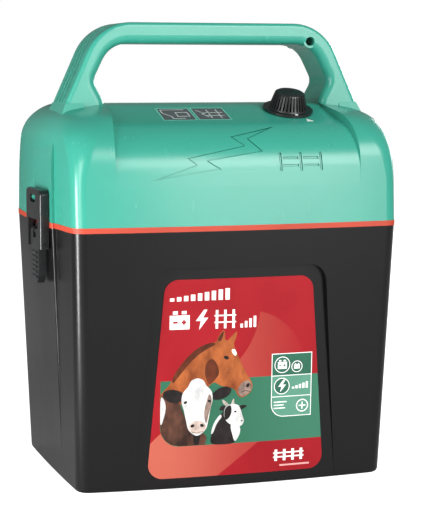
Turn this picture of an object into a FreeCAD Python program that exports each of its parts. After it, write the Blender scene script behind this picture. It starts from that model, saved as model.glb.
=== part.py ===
import FreeCAD, Part
import math
import os
import Sketcher

os.makedirs("parts", exist_ok=True)
doc = FreeCAD.newDocument("FenceEnergizer")
Vector = FreeCAD.Vector
Rotation = FreeCAD.Rotation

# Driving dimensions in millimetres: alias, value, meaning.
drivingSizes = [
    ("seamWidth", 232.0, "case width between its corners at the parting line"),
    ("baseWidth", 223.4, "case width between its corners at the bottom"),
    ("seamFront", -95.65, "front corners at the parting line"),
    ("seamRear", 102.35, "rear corners at the parting line"),
    ("baseFront", -80.5, "front corners at the bottom"),
    ("baseRear", 87.2, "rear corners at the bottom"),
    ("frontBow", 6.7, "crown of the front face in plan"),
    ("rearBow", 2.0, "crown of the rear face in plan"),
    ("seamSideBow", 4.5, "crown of the sides at the parting line"),
    ("baseSideBow", 1.2, "crown of the sides at the bottom"),
    ("cornerRadius", 10.0, "vertical corners"),
    ("caseBottom", 0.0, "underside of the case"),
    ("bottomEdge", 2.4, "rounding of the bottom edge"),
    ("caseTop", 180.2, "rim of the case"),
    ("housingBottom", 183.8, "rim of the housing"),
    ("housingTop", 265.5, "top of the shoulders"),
    ("wall", 3.2, "moulding wall"),
    ("floorThickness", 3.5, "case floor"),
    ("gasketWidth", 5.0, "seal width across the rim"),
    ("gasketProud", 0.3, "how far the seal stands out of the rim"),
    ("topSideX", 116.2, "corner half width where the shoulder arc starts"),
    ("shoulderZ", 240.5, "level where the shoulder arc starts"),
    ("topCorner", 38.0, "plan corners at the top of the shoulders"),
    ("shoulderRadius", 25.0, "shoulder arc in the front view"),
    ("frontRadius", 38.0, "front curve in the side view"),
    ("frontLean", 3.2, "lean of the front of the housing in degrees"),
    ("rearLean", 6.5, "lean of the rear of the housing in degrees"),
    ("rearRadius", 46.0, "rear curve in the side view"),
    ("shoulderSlope", 12.0, "slope of the shoulder tops in degrees"),
    ("centreSlope", 17.5, "slope of the control panel in degrees"),
    ("crownFront", -34.0, "where the panel starts to slope"),
    ("crownZ", 265.0, "level of the panel at the handle"),
    ("creaseHandle", 79.5, "panel half width at the handle"),
    ("creaseMiddle", 82.6, "panel half width on the slope"),
    ("creaseFront", 97.5, "panel half width at the front"),
    ("handleFront", -36.0, "front face of the handle"),
    ("handleRear", 8.0, "rear face of the handle"),
    ("handleTop", 322.3, "top of the handle"),
    ("handleUnder", 307.4, "underside of the grip"),
    ("handleLean", 0.45, "sideways lean of the legs per unit of height"),
    ("handleFoot", 109.0, "outer half width of the legs at the shoulders"),
    ("handleBend", 35.0, "outer bend of the handle"),
    ("handleInnerBend", 20.0, "inner bend of the handle"),
    ("handleWaistX", 87.6, "inner half width at the waist"),
    ("handleWaistZ", 281.5, "level of the waist"),
    ("coverThickness", 4.0, "rear cover of the handle"),
    ("grooveDepth", 1.6, "grooves along the legs"),
    ("grooveWidth", 3.0, "groove width"),
    ("groovePitch", 9.2, "groove spacing"),
    ("legScrewX", 95.0, "lower handle screws from the middle"),
    ("legScrewZ", 281.5, "lower handle screws level"),
    ("barScrewX", 34.0, "upper handle screws from the middle"),
    ("barScrewZ", 314.8, "upper handle screws level"),
    ("handleOuterEdge", 3.0, "rounding of the outer edges of the handle"),
    ("handleInnerEdge", 6.0, "rounding of the inner edges of the handle"),
    ("lockEyeX", 72.6, "lock eye from the middle"),
    ("lockEyeZ", 309.6, "lock eye level"),
    ("lockEyeRadius", 3.25, "lock eye bore"),
    ("bandX", 121.4, "outer face of the side bands"),
    ("bandFront", -48.0, "front edge of the side bands"),
    ("bandRear", 14.0, "rear edge of the side bands"),
    ("bandKneeZ", 236.8, "level where the band turns into the leg"),
    ("pillarFootX", 112.6, "outer face of the case pillar at the bottom"),
    ("recessTop", 155.5, "upper edge of the label recess"),
    ("recessTopHalf", 61.5, "recess half width at the top"),
    ("recessFootHalf", 74.6, "recess half width at the bottom"),
    ("recessDepth", 5.2, "depth the recess floor would have at the seam"),
    ("recessCorner", 14.0, "upper corners of the recess"),
    ("labelTop", 147.0, "upper edge of the label"),
    ("labelFoot", 8.0, "lower edge of the label"),
    ("labelTopHalf", 53.2, "label half width at the top"),
    ("labelFootHalf", 64.6, "label half width at the bottom"),
    ("labelCorner", 10.0, "label corners"),
    ("labelThickness", 0.6, "label thickness"),
    ("latchY", -17.0, "middle plane of the latches"),
    ("haspWidth", 48.0, "hasp width"),
    ("haspTop", 206.0, "top of the hasp"),
    ("haspFoot", 165.0, "lower ends of the hasp arms"),
    ("haspOuterX", 128.4, "outer face of the hasp"),
    ("haspInnerX", 122.0, "inner edge of the hasp flanges"),
    ("haspPlate", 3.4, "thickness of the hasp plate"),
    ("haspArm", 7.6, "width of the hasp arms"),
    ("haspFlange", 3.0, "thickness of the hasp flanges"),
    ("haspOpeningTop", 185.0, "top of the opening between the arms"),
    ("keeperTop", 201.4, "top of the keeper nose"),
    ("keeperFoot", 198.0, "underside of the keeper nose"),
    ("keeperWidth", 15.0, "width of the keeper nose"),
    ("keeperX", 127.6, "end of the keeper nose"),
    ("pivotX", 124.6, "lever pivot from the middle"),
    ("pivotZ", 176.0, "lever pivot level"),
    ("leverEnd", 2.8, "rounding of the lever above its pivot"),
    ("linkX", 125.4, "hasp pivot from the middle"),
    ("linkZ", 168.4, "hasp pivot level"),
    ("leverWidth", 28.0, "lever width"),
    ("leverInnerX", 122.2, "inner face of the lever"),
    ("leverOuterX", 127.4, "outer face of the lever"),
    ("leverFoot", 139.6, "lower end of the lever"),
    ("leverSlot", 9.6, "gap in the lever for the case lug"),
    ("lugWidth", 8.4, "case lug width"),
    ("lugRadius", 2.4, "case lug end"),
    ("pivotPinRadius", 1.4, "pivot pin"),
    ("linkPinRadius", 1.3, "hasp pin"),
    ("pinFit", 0.06, "running fit of the pins"),
    ("gripRibs", 6.0, "ribs on the lever"),
    ("gripPitch", 3.4, "rib spacing"),
    ("knobX", 51.0, "knob from the middle"),
    ("knobY", -48.2, "knob from the middle plane"),
    ("knobSkirt", 17.8, "knob skirt radius"),
    ("knobFoot", 13.2, "knob dome radius at the skirt"),
    ("knobCrown", 10.9, "knob radius at the top"),
    ("knobHeight", 14.6, "knob height"),
    ("shaftRadius", 3.0, "switch shaft"),
    ("bushRadius", 4.5, "switch bush"),
    ("bushFit", 0.06, "gap between the shaft and its bush"),
    ("switchRadius", 12.0, "rotary switch body"),
    ("switchHeight", 13.0, "rotary switch body height"),
    ("nutAcross", 6.8, "switch nut half width across its corners"),
    ("nutThickness", 2.4, "switch nut"),
    ("sealRadius", 8.0, "seal under the switch nut"),
    ("sealThickness", 0.8, "seal under the switch nut"),
    ("knobGap", 0.6, "gap between the knob and the panel"),
    ("skirtThickness", 1.6, "knob skirt"),
    ("fluteRadius", 0.95, "knob flute"),
    ("fluteCount", 34, "flutes round the knob"),
    ("shaftLength", 19.6, "switch shaft"),
    ("windowWidth", 22.4, "indicator window width"),
    ("windowLength", 23.4, "indicator window length along the slope"),
    ("windowX", -33.7, "left window"),
    ("windowPitch", 24.9, "spacing of the windows"),
    ("windowY", -54.8, "windows from the middle plane"),
    ("windowThickness", 1.2, "window thickness"),
    ("trayZ", 191.0, "underside of the electronics tray"),
    ("trayThickness", 2.5, "tray thickness"),
    ("trayWidth", 176.0, "tray width"),
    ("trayDepth", 146.0, "tray depth"),
    ("batteryWidth", 190.0, "fence battery width"),
    ("batteryDepth", 125.0, "fence battery depth"),
    ("batteryHeight", 160.0, "fence battery height"),
    ("batteryFoot", 5.2, "underside of the battery"),
    ("batteryEdge", 3.0, "rounded edges of the battery"),
    ("terminalRadius", 5.0, "battery terminal"),
    ("terminalHeight", 7.0, "battery terminal height"),
    ("terminalX", 62.0, "battery terminal from the middle"),
    ("postRadius", 3.0, "output post M6"),
    ("postX", 36.0, "output posts from the middle"),
    ("postZ", 206.0, "output post level"),
    ("postNeck", 118.6, "where the output posts step down"),
    ("postTip", 2.6, "radius of the free ends of the output posts"),
    ("postReach", 126.0, "free end of the output posts"),
    ("nutRadius", 9.0, "output nut"),
    ("nutLength", 10.0, "output nut length"),
    ("footRadius", 8.0, "rubber foot"),
    ("footSink", 2.2, "thickness of a foot pad let into the floor"),
    ("footX", 88.0, "feet from the middle"),
    ("footFrontY", -60.0, "front feet"),
    ("footRearY", 66.0, "rear feet"),
    ("boardWidth", 118.0, "circuit board width"),
    ("boardDepth", 62.0, "circuit board depth"),
    ("boardThickness", 1.6, "circuit board"),
    ("boardY", -38.0, "circuit board from the middle plane"),
    ("standoff", 6.0, "board standoffs on the tray"),
    ("columnX", 80.0, "tray columns from the middle"),
    ("columnFrontY", -58.0, "front tray columns"),
    ("columnRearY", 62.0, "rear tray columns"),
    ("columnRadius", 4.2, "tray columns"),
    ("screwRadius", 1.5, "screw shank"),
    ("screwHead", 3.0, "screw head radius"),
    ("screwHeadHeight", 1.8, "screw head height"),
    ("screwLength", 12.0, "screw length under the head"),
    ("coreWidth", 50.0, "transformer core width"),
    ("coreDepth", 34.0, "transformer core depth"),
    ("coreHeight", 42.0, "transformer core height"),
    ("coreX", -48.0, "transformer from the middle"),
    ("coreY", 44.0, "transformer from the middle plane"),
    ("coreLeg", 14.0, "centre leg of the core"),
    ("coilGrowth", 8.0, "how far the coil stands out of the core"),
    ("capacitorRadius", 17.0, "storage capacitor radius"),
    ("capacitorLength", 52.0, "storage capacitor length"),
    ("capacitorX", 40.0, "storage capacitor from the middle"),
    ("capacitorY", 44.0, "storage capacitor from the middle plane"),
    ("strapWidth", 12.0, "capacitor strap width"),
    ("strapThickness", 1.2, "capacitor strap"),
    ("leadRadius", 1.7, "battery lead"),
    ("leadBend", 4.5, "bend of the battery leads"),
    ("leadShift", 14.0, "sideways run of the battery leads"),
    ("capRadius", 7.5, "push on connector radius"),
    ("capHeight", 9.5, "push on connector height"),
    ("capLift", 0.6, "gap between a connector and the battery top"),
    ("capGap", 0.35, "gap between a connector and its terminal"),
    ("postBossY", 106.0, "flat face of the output bosses"),
    ("postBossRadius", 11.5, "output bosses"),
    ("postInnerY", 86.0, "inner end of the output posts"),
    ("washerRadius", 8.0, "output washer"),
    ("washerThickness", 1.2, "output washer"),
    ("lockNutAcross", 6.0, "lock nut inside the housing"),
    ("wireRadius", 1.2, "internal output wire"),
    ("ledRadius", 2.5, "indicator lamp"),
    ("ledLength", 7.0, "indicator lamp length"),
    ("displayWidth", 52.0, "indicator board width"),
    ("displayLength", 22.0, "indicator board length"),
    ("markSize", 5.0, "pointer mark"),
    ("markX", 60.0, "pointer mark from the middle"),
    ("markY", -67.5, "pointer mark from the middle plane"),
    ("markSink", 0.4, "depth of the pointer mark in the panel"),
    ("boltDepth", 0.45, "engraved bolt"),
    ("lineDepth", 0.9, "line round the engraved signs"),
    ("lineWidth", 0.55, "width of that line"),
    ("signX", 43.0, "engraved fence sign from the middle"),
    ("signWidth", 30.0, "spacing of its outer posts"),
    ("signFoot", 220.0, "foot of its posts"),
    ("signTop", 232.5, "top of its posts"),
    ("signBar", 0.9, "half width of its posts"),
]


def writeSheet():
    table = doc.addObject("Spreadsheet::Sheet", "Sizes")
    for row, (alias, value, note) in enumerate(drivingSizes, start=1):
        table.set("A%d" % row, note)
        table.set("B%d" % row, str(value))
        table.setAlias("B%d" % row, alias)
    doc.recompute()
    return table


sheet = writeSheet()


class Size:
    """Reads one named cell of the sheet."""

    def __getattr__(self, alias):
        return float(sheet.get(alias))


size = Size()
up = Vector(0, 0, 1)
toRight = Vector(1, 0, 0)
toRear = Vector(0, 1, 0)


def between(low, high, share):
    return low + (high - low) * share


# ---- scripted outlines ----

def meetingPoint(centreA, radiusA, centreB, radiusB, near):
    line = centreB - centreA
    gap = line.Length
    along = (radiusA ** 2 - radiusB ** 2 + gap ** 2) / (2 * gap)
    across = math.sqrt(max(radiusA ** 2 - along ** 2, 0.0))
    line.normalize()
    side = Vector(-line.y, line.x, 0)
    choices = [centreA + line * along + side * across, centreA + line * along - side * across]
    return min(choices, key=lambda point: (point - near).Length)


def unit(vector):
    copy = Vector(vector)
    copy.normalize()
    return copy


def bowedOutline(level, half, front, rear, frontBow, rearBow, sideBow, radius):
    """Closed plan outline: four bowed sides joined by tangent corner arcs."""
    middle = (front + rear) / 2
    reach = (rear - front) / 2
    frontR = (half ** 2 + frontBow ** 2) / (2 * frontBow)
    rearR = (half ** 2 + rearBow ** 2) / (2 * rearBow)
    sideR = (reach ** 2 + sideBow ** 2) / (2 * sideBow)
    frontC = Vector(0, front - frontBow + frontR, 0)
    rearC = Vector(0, rear + rearBow - rearR, 0)
    sideC = Vector(half + sideBow - sideR, middle, 0)
    corners = []
    for longC, longR, end in ((frontC, frontR, front), (rearC, rearR, rear)):
        centre = meetingPoint(longC, longR - radius, sideC, sideR - radius, Vector(half, end, 0))
        first = unit(centre - longC)
        second = unit(centre - sideC)
        corners.append([longC + first * longR, centre + unit(first + second) * radius, sideC + second * sideR])
    mirror = lambda point: Vector(-point.x, point.y, 0)
    (frontA, frontM, frontB), (rearA, rearM, rearB) = corners
    loop = [
        (mirror(frontA), Vector(0, front - frontBow, 0), frontA),
        (frontA, frontM, frontB),
        (frontB, Vector(half + sideBow, middle, 0), rearB),
        (rearB, rearM, rearA),
        (rearA, Vector(0, rear + rearBow, 0), mirror(rearA)),
        (mirror(rearA), mirror(rearM), mirror(rearB)),
        (mirror(rearB), Vector(-half - sideBow, middle, 0), mirror(frontB)),
        (mirror(frontB), mirror(frontM), mirror(frontA)),
    ]
    lift = Vector(0, 0, level)
    return Part.Wire([Part.Arc(a + lift, b + lift, c + lift).toShape() for a, b, c in loop])


def roundedOutline(points, place):
    """Closed polygon with rounded vertices; points are (first, second, radius)."""
    count = len(points)
    trimmed = []
    for index, (first, second, radius) in enumerate(points):
        here = Vector(first, second, 0)
        back = Vector(*points[index - 1][:2], 0) - here
        ahead = Vector(*points[(index + 1) % count][:2], 0) - here
        if radius <= 0:
            trimmed.append((here, here, here))
            continue
        angle = back.getAngle(ahead)
        cut = radius / math.tan(angle / 2)
        bisector = unit(unit(back) + unit(ahead))
        middle = here + bisector * (radius / math.sin(angle / 2) - radius)
        trimmed.append((here + unit(back) * cut, middle, here + unit(ahead) * cut))
    edges = []
    for index, (start, middle, end) in enumerate(trimmed):
        if (end - start).Length > 1e-6:
            edges.append(Part.Arc(place(start), place(middle), place(end)).toShape())
        following = trimmed[(index + 1) % count][0]
        if (following - end).Length > 1e-6:
            edges.append(Part.LineSegment(place(end), place(following)).toShape())
    return Part.Wire(edges)


def frontView(level):
    return lambda point: Vector(point.x, level, point.y)


def sideView(offset):
    return lambda point: Vector(offset, point.x, point.y)


def planView(level):
    return lambda point: Vector(point.x, point.y, level)


def slab(points, place, push):
    return Part.Face(roundedOutline(points, place)).extrude(push)


def bothSides(shape):
    return [shape, shape.mirror(Vector(0, 0, 0), toRight)]


def softened(shape, radius, wanted):
    edges = [edge for edge in shape.Edges if wanted(edge)]
    return shape.makeFillet(radius, edges) if edges else shape


# ---- battery case ----

def caseOutline(level, inset=0.0, frontInset=None):
    share = level / (size.caseTop + size.caseBottom)
    frontIn = inset if frontInset is None else frontInset
    return bowedOutline(
        level,
        between(size.baseWidth, size.seamWidth, share) / 2 - inset,
        between(size.baseFront, size.seamFront, share) + frontIn,
        between(size.baseRear, size.seamRear, share) - inset,
        size.frontBow,
        size.rearBow,
        between(size.baseSideBow, size.seamSideBow, share),
        max(size.cornerRadius - inset, size.wall),
    )


def caseForm():
    foot = caseOutline(size.caseBottom, size.bottomEdge * 0.75)
    edge = caseOutline(size.caseBottom + size.bottomEdge * 0.3, size.bottomEdge * 0.25)
    body = caseOutline(size.caseBottom + size.bottomEdge)
    rim = caseOutline(size.caseTop)
    return Part.makeLoft([foot, edge, body, rim], True, True)


def caseCavity():
    low = caseOutline(size.caseBottom + size.floorThickness, size.wall)
    high = caseOutline(size.caseTop + 1.0, size.wall)
    return Part.makeLoft([low, high], True, True)


def recessFloor(extra):
    """The case form with its front set back towards the seam by the recess depth."""
    low = caseOutline(0.0, 0.0, extra)
    high = caseOutline(size.caseTop, 0.0, size.recessDepth + extra)
    return Part.makeLoft([low, high], True, True)


def frontPanel(top, foot, topHalf, footHalf, corner, footCorner):
    points = [(-footHalf, foot, footCorner), (footHalf, foot, footCorner), (topHalf, top, corner), (-topHalf, top, corner)]
    return slab(points, frontView(size.seamFront * 1.3), Vector(0, -size.seamFront, 0))


def casePillar():
    """Ridge under a latch, proud at the rim and flush at the bottom."""
    rim = [(size.seamWidth * 0.4, size.bandFront, 0), (size.bandX, size.bandFront, 1.5),
           (size.bandX, size.bandRear, 1.5), (size.seamWidth * 0.4, size.bandRear, 0)]
    narrow = size.haspFlange * 4
    foot = [(size.seamWidth * 0.4, size.bandFront + narrow, 0), (size.pillarFootX, size.bandFront + narrow, 1.5),
            (size.pillarFootX, size.bandRear - narrow, 1.5), (size.seamWidth * 0.4, size.bandRear - narrow, 0)]
    wires = [roundedOutline(foot, planView(size.caseBottom + size.bottomEdge)),
             roundedOutline(rim, planView(size.caseTop))]
    return Part.makeLoft(wires, True, True)


def pivotLug():
    """Lug in the middle of the lever that carries the pivot pin."""
    width = size.lugWidth
    reach = size.pivotX - size.seamWidth * 0.48
    arm = Part.makeBox(reach, width, size.lugRadius * 2,
                       Vector(size.pivotX - reach, size.latchY - width / 2, size.pivotZ - size.lugRadius))
    eye = Part.makeCylinder(size.lugRadius, width, Vector(size.pivotX, size.latchY - width / 2, size.pivotZ), toRear)
    bore = Part.makeCylinder(size.pivotPinRadius, width, Vector(size.pivotX, size.latchY - width / 2, size.pivotZ), toRear)
    return arm.fuse(eye).cut(bore)


def footPlaces():
    return [Vector(side * size.footX, depth, 0) for side in (-1, 1) for depth in (size.footFrontY, size.footRearY)]


def footSockets():
    height = size.caseBottom + size.footSink
    return [Part.makeCylinder(size.footRadius, height, place) for place in footPlaces()]


def batteryRibs():
    """Upright ribs that keep the battery from sliding."""
    thick = size.wall * 0.8
    height = size.batteryHeight * 0.35
    floor = size.caseBottom + size.floorThickness
    ribs = []
    for side in (-1, 1):
        for depth in (-0.3, 0.3):
            edge = side * (size.batteryWidth / 2 + 0.6)
            reach = size.baseWidth / 2 - size.batteryWidth / 2 - 1.5
            corner = Vector(min(edge, edge + side * reach), depth * size.batteryDepth, floor - 1.0)
            ribs.append(Part.makeBox(reach, thick, height, corner))
    for depth in (-1, 1):
        for side in (-0.3, 0.3):
            edge = size.latchY * 0 + depth * (size.batteryDepth / 2 + 0.6) + size.terminalRadius * 0.6
            reach = (size.baseRear - size.baseFront) / 2 - size.batteryDepth / 2 - 1.5
            corner = Vector(side * size.batteryWidth, min(edge, edge + depth * reach), floor - 1.0)
            ribs.append(Part.makeBox(thick, reach, height, corner))
    return ribs


def batteryCase():
    outer = caseForm()
    cavity = caseCavity()
    recess = frontPanel(size.recessTop, -size.wall, size.recessTopHalf, size.recessFootHalf, size.recessCorner, 0)
    recess = recess.cut(recessFloor(0.0))
    outer = outer.cut(recess).fuse(bothSides(casePillar()))
    walled = cavity.cut(frontPanel(size.recessTop + size.wall, -size.wall, size.recessTopHalf + size.wall,
                                   size.recessFootHalf + size.wall, size.recessCorner, 0).cut(recessFloor(size.wall)))
    shell = outer.cut(walled)
    shell = shell.fuse(bothSides(pivotLug()) + batteryRibs())
    return shell.cut(footSockets()).removeSplitter()


def frontLabel():
    panel = frontPanel(size.labelTop, size.labelFoot, size.labelTopHalf, size.labelFootHalf,
                       size.labelCorner, size.labelCorner)
    return panel.common(recessFloor(-size.labelThickness)).cut(recessFloor(0.0))


def sealGasket():
    share = 1.0
    outer = caseOutline(size.caseTop, -size.gasketProud).Edges
    outerFace = Part.Face(Part.Wire(outer))
    innerFace = Part.Face(caseOutline(size.caseTop, size.gasketWidth))
    ring = outerFace.cut(innerFace).extrude(up * (size.housingBottom - size.caseTop))
    height = size.housingBottom - size.caseTop
    pads = [(size.seamWidth * 0.49, size.bandFront - size.gasketProud, 0),
            (size.bandX + size.gasketProud, size.bandFront - size.gasketProud, 1.5),
            (size.bandX + size.gasketProud, size.bandRear + size.gasketProud, 1.5),
            (size.seamWidth * 0.49, size.bandRear + size.gasketProud, 0)]
    pad = slab(pads, planView(size.caseTop), up * height)
    return ring.fuse(bothSides(pad)).removeSplitter()


# ---- upper housing ----

def shoulderHalf(level):
    if level <= size.shoulderZ:
        share = (level - size.housingBottom) / (size.shoulderZ - size.housingBottom)
        return between(size.seamWidth / 2, size.topSideX, share)
    rise = level - size.shoulderZ
    return size.topSideX - size.shoulderRadius + math.sqrt(max(size.shoulderRadius ** 2 - rise ** 2, 0.0))


def slopedProfile(level, slope, start, top, lean, radius):
    """Front of the housing at a level: upright face, curve, then a sloping top."""
    lean = math.radians(lean)
    tilt = math.radians(slope)
    frontAt = lambda z: size.seamFront + (z - size.housingBottom) * math.tan(lean)
    topAt = lambda z: start - (top - z) / math.tan(tilt)
    cornerZ = size.housingBottom
    for _ in range(40):
        cornerZ = top - (start - frontAt(cornerZ)) * math.tan(tilt)
    turn = math.pi / 2 - tilt - lean
    tangent = radius * math.tan(turn / 2)
    lowZ = cornerZ - tangent * math.cos(lean)
    highZ = cornerZ + tangent * math.sin(tilt)
    if level <= lowZ:
        return frontAt(level)
    if level >= highZ:
        return topAt(level)
    centreY = frontAt(lowZ) + radius * math.cos(lean)
    centreZ = lowZ - radius * math.sin(lean)
    rise = min(level - centreZ, radius)
    return centreY - math.sqrt(radius ** 2 - rise ** 2)


def shoulderOutline(real, level, inset, radius):
    front = slopedProfile(real, size.shoulderSlope, size.crownFront, size.housingTop, size.frontLean, size.frontRadius)
    rear = -slopedProfile(real, size.shoulderSlope * 2, -size.terminalX, size.housingTop, size.rearLean,
                          size.rearRadius)
    rear = rear + size.seamRear + size.seamFront
    return bowedOutline(level, shoulderHalf(real) - inset, front + inset, rear - inset,
                        size.frontBow, size.rearBow, size.seamSideBow, max(radius - inset, 4))


def pillow(inset):
    """Upright lower part and a stack of plan outlines that makes the rounded shoulders."""
    low = size.housingBottom - (1.0 if inset else 0.0)
    top = size.housingTop - inset
    straight = 0.34
    shares = [0.0, straight, 0.37, 0.4, 0.44, 0.48, 0.54, 0.6, 0.66, 0.72, 0.78, 0.84, 0.9, 0.95, 0.98, 1.0]
    wires = []
    for share in shares:
        real = between(size.housingBottom, size.housingTop, share)
        turn = max(share - straight, 0.0) / (1.0 - straight)
        radius = between(size.cornerRadius, size.topCorner, turn ** 1.6)
        wires.append(shoulderOutline(real, between(low, top, share), inset, radius))
    upright = Part.makeLoft(wires[:2], True, True)
    rounded = Part.makeLoft(wires[1:], True, False)
    return upright.fuse(rounded)


def panelProfile(inset, sign):
    """Side view of the recessed middle: (depth, level, radius) points."""
    foot = size.housingBottom - 60.0
    tilt = math.tan(math.radians(size.centreSlope))
    face = size.seamFront - size.frontBow - 1.5 + inset
    leanBack = size.seamFront - size.frontBow + 4.1 + inset
    cornerZ = size.crownZ - inset - (size.crownFront - leanBack) * tilt
    start = size.crownFront
    points = [(0.0, foot, 0), (face - 3.6, foot, 0), (leanBack, cornerZ, size.frontRadius - inset),
              (start, size.crownZ - inset, 40.0), (0.0, size.crownZ + 0.4 - inset, 0)]
    if sign > 0:
        shift = size.seamRear + size.seamFront + size.rearBow - size.frontBow
        points = [(0.0 if p[0] == 0.0 else -p[0] + shift, p[1], p[2]) for p in points]
    return points


def panelForm(inset):
    """Recessed middle: the front half turned about a far axis so that it bows, the rear half straight."""
    axis = panelAxis()
    sweep = 15.0
    front = Part.Face(roundedOutline(panelProfile(inset, -1), sideView(0)))
    front.rotate(axis, up, -sweep / 2)
    front = front.revolve(axis, up, sweep)
    rear = Part.Face(roundedOutline(panelProfile(inset, 1), sideView(-size.seamWidth)))
    rear = rear.extrude(toRight * size.seamWidth * 2)
    middle = Part.makeBox(size.seamWidth * 2, 16.0, size.crownZ - inset + 60.4 - size.housingBottom,
                          Vector(-size.seamWidth, -8.0, size.housingBottom - 60.0))
    return front.fuse([rear, middle])


def creaseWedge(grow):
    """Region between the shoulder creases, opening upwards."""
    wires = []
    for level, spread in ((size.housingBottom, -3.0), (size.housingTop + 40.0, 3.0)):
        spread = spread + grow
        half = [(size.creaseFront, size.seamFront - 40), (size.creaseMiddle, size.crownFront * 2),
                (size.creaseHandle, size.handleFront), (size.creaseHandle, size.handleRear),
                (size.creaseMiddle, -size.crownFront), (size.creaseFront, size.seamRear + 40)]
        loop = [(x + spread, y, 0) for x, y in half] + [(-x - spread, y, 0) for x, y in reversed(half)]
        wires.append(roundedOutline(loop, planView(level)))
    return Part.makeLoft(wires, True, True)


def housingForm(inset):
    return pillow(inset).cut(creaseWedge(inset).cut(panelForm(inset)))


def legOutline(inset):
    """Closed handle outline in the front view, both legs and the bar."""
    low = size.bandKneeZ + 15.0
    lean = size.handleLean
    outerAt = lambda z: size.handleFoot + lean * (264.2 - z) - inset
    top = size.handleTop - inset
    under = size.handleUnder + inset
    right = [(outerAt(low), low, 0), (outerAt(top), top, size.handleBend - inset)]
    inner = [(size.handleWaistX - lean * 1.1 * (under - size.handleWaistZ) + inset, under, size.handleInnerBend + inset),
             (size.handleWaistX + inset, size.handleWaistZ, 9.0),
             (size.creaseHandle + 0.6 + inset, size.handleWaistZ - 14.0, 14.0),
             (size.creaseHandle + inset, low, 0)]
    mirrored = lambda points: [(-x, z, r) for x, z, r in reversed(points)]
    return right + mirrored(right) + mirrored(inner) + inner


def roundedHandle():
    """The whole handle with rounded edges, wider on the side of the hand."""
    solid = slab(legOutline(0.0), frontView(size.handleFront), toRear * (size.handleRear - size.handleFront))
    foot = size.bandKneeZ + 15.01

    def isFaceEdge(edge, inner):
        spots = [vertex.Point for vertex in edge.Vertexes]
        flat = abs(spots[0].y - spots[1].y) < 0.01 and max(spot.z for spot in spots) > foot
        middle = edge.valueAt((edge.FirstParameter + edge.LastParameter) / 2)
        return flat and isInner(middle) == inner

    def isInner(spot):
        leg = size.handleFoot + size.handleLean * (264.2 - spot.z) - size.handleBend * 0.3
        return spot.z < size.handleTop - 5.0 and abs(spot.x) < leg

    solid = softened(solid, size.handleOuterEdge, lambda edge: isFaceEdge(edge, False))
    return softened(solid, size.handleInnerEdge, lambda edge: isFaceEdge(edge, True))


def handleSlice(start, end):
    box = Part.makeBox(size.seamWidth * 2, end - start, size.seamWidth * 2, Vector(-size.seamWidth, start, 0))
    return roundedHandle().common(box)


def handleFrontShell():
    return handleSlice(size.handleFront - 1, size.handleRear - size.coverThickness)


def handleHollow():
    start = size.handleFront + size.wall
    depth = size.handleRear - size.coverThickness - start
    return slab(legOutline(size.wall), frontView(start), toRear * depth)


def sideBand():
    """Raised band on the side of the housing that grows into the handle leg."""
    low = size.housingBottom
    high = 266.0
    foot = size.handleFoot
    face = [(foot - 14.0, low, 0), (size.bandX, low, 0), (size.bandX, size.bandKneeZ, 60.0),
            (foot - size.handleLean * (high - 264.2), high, 0), (foot - 14.0, high, 0)]
    edge = [(size.bandFront, low, 0), (size.bandRear, low, 0), (size.bandRear, size.bandKneeZ, 40.0),
            (size.handleRear, high, 0), (size.handleFront, high, 0), (size.bandFront, size.bandKneeZ, 40.0)]
    faceSolid = slab(face, frontView(size.seamFront), toRear * size.seamWidth)
    edgeSolid = slab(edge, sideView(0), toRight * size.seamWidth)
    return faceSolid.common(edgeSolid)


def keeperNose():
    reach = size.keeperX - size.bandX + 4.0
    low = size.keeperFoot
    high = size.keeperTop
    points = [(size.bandX - 4.0, low, 0), (size.keeperX - 1.2, low, 0), (size.keeperX, high - 1.6, 0),
              (size.keeperX - 0.6, high, 0), (size.bandX - 4.0, high, 0)]
    return slab(points, frontView(size.latchY - size.keeperWidth / 2), toRear * size.keeperWidth)


def legGrooves():
    """Three grooves along the outer face of each leg and round its bend."""
    low = size.handleFoot * 0 + 266.5
    outerAt = lambda z: size.handleFoot + size.handleLean * (264.2 - z)
    top = size.handleTop
    ring = []
    for shift in (0.0, -size.grooveDepth):
        ring.append([(outerAt(low) + shift, low, 0), (outerAt(top) + shift, top + shift, size.handleBend + shift),
                     (size.handleBend * 0.9, top + shift, 0), (size.handleBend * 0.9, low, 0)])
    tools = []
    middle = (size.handleFront + size.handleRear) / 2
    for step in (-1, 0, 1):
        start = middle + step * size.groovePitch - size.grooveWidth / 2
        outer = slab([(outerAt(low) + 3.0, low, 0), (outerAt(top) + 3.0, top + 3.0, size.handleBend + 3.0),
                      (size.handleBend, top + 3.0, 0), (size.handleBend, low, 0)],
                     frontView(start), toRear * size.grooveWidth)
        inner = slab([(outerAt(low) - size.grooveDepth, low - 1, 0),
                      (outerAt(top) - size.grooveDepth, top - size.grooveDepth, size.handleBend - size.grooveDepth),
                      (size.handleBend - 1, top - size.grooveDepth, 0), (size.handleBend - 1, low - 1, 0)],
                     frontView(start - 1), toRear * (size.grooveWidth + 2))
        tools.append(outer.cut(inner))
    return tools


def panelAxis():
    bend = ((size.seamWidth / 2) ** 2 + size.frontBow ** 2) / (2 * size.frontBow)
    return Vector(0, size.seamFront - size.frontBow + bend, 0)


def onPanel(across, depth, drop=0.0):
    """Placement on the sloping panel with its local Z along the outward normal."""
    tilt = math.radians(size.centreSlope)
    far = panelAxis().y
    along = far - math.hypot(across, far - depth)
    level = size.crownZ - (size.crownFront - along) * math.tan(tilt)
    swing = math.degrees(math.atan2(across, far - depth))
    turn = Rotation(up, swing).multiply(Rotation(toRight, size.centreSlope))
    base = Vector(across, depth, level) - turn.multVec(up) * drop
    return FreeCAD.Placement(base, turn)


def placed(shape, placement):
    copy = shape.copy()
    copy.Placement = placement.multiply(copy.Placement)
    return copy


def rod(radius, start, end):
    return Part.makeCylinder(radius, (end - start).Length, start, end - start)


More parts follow.
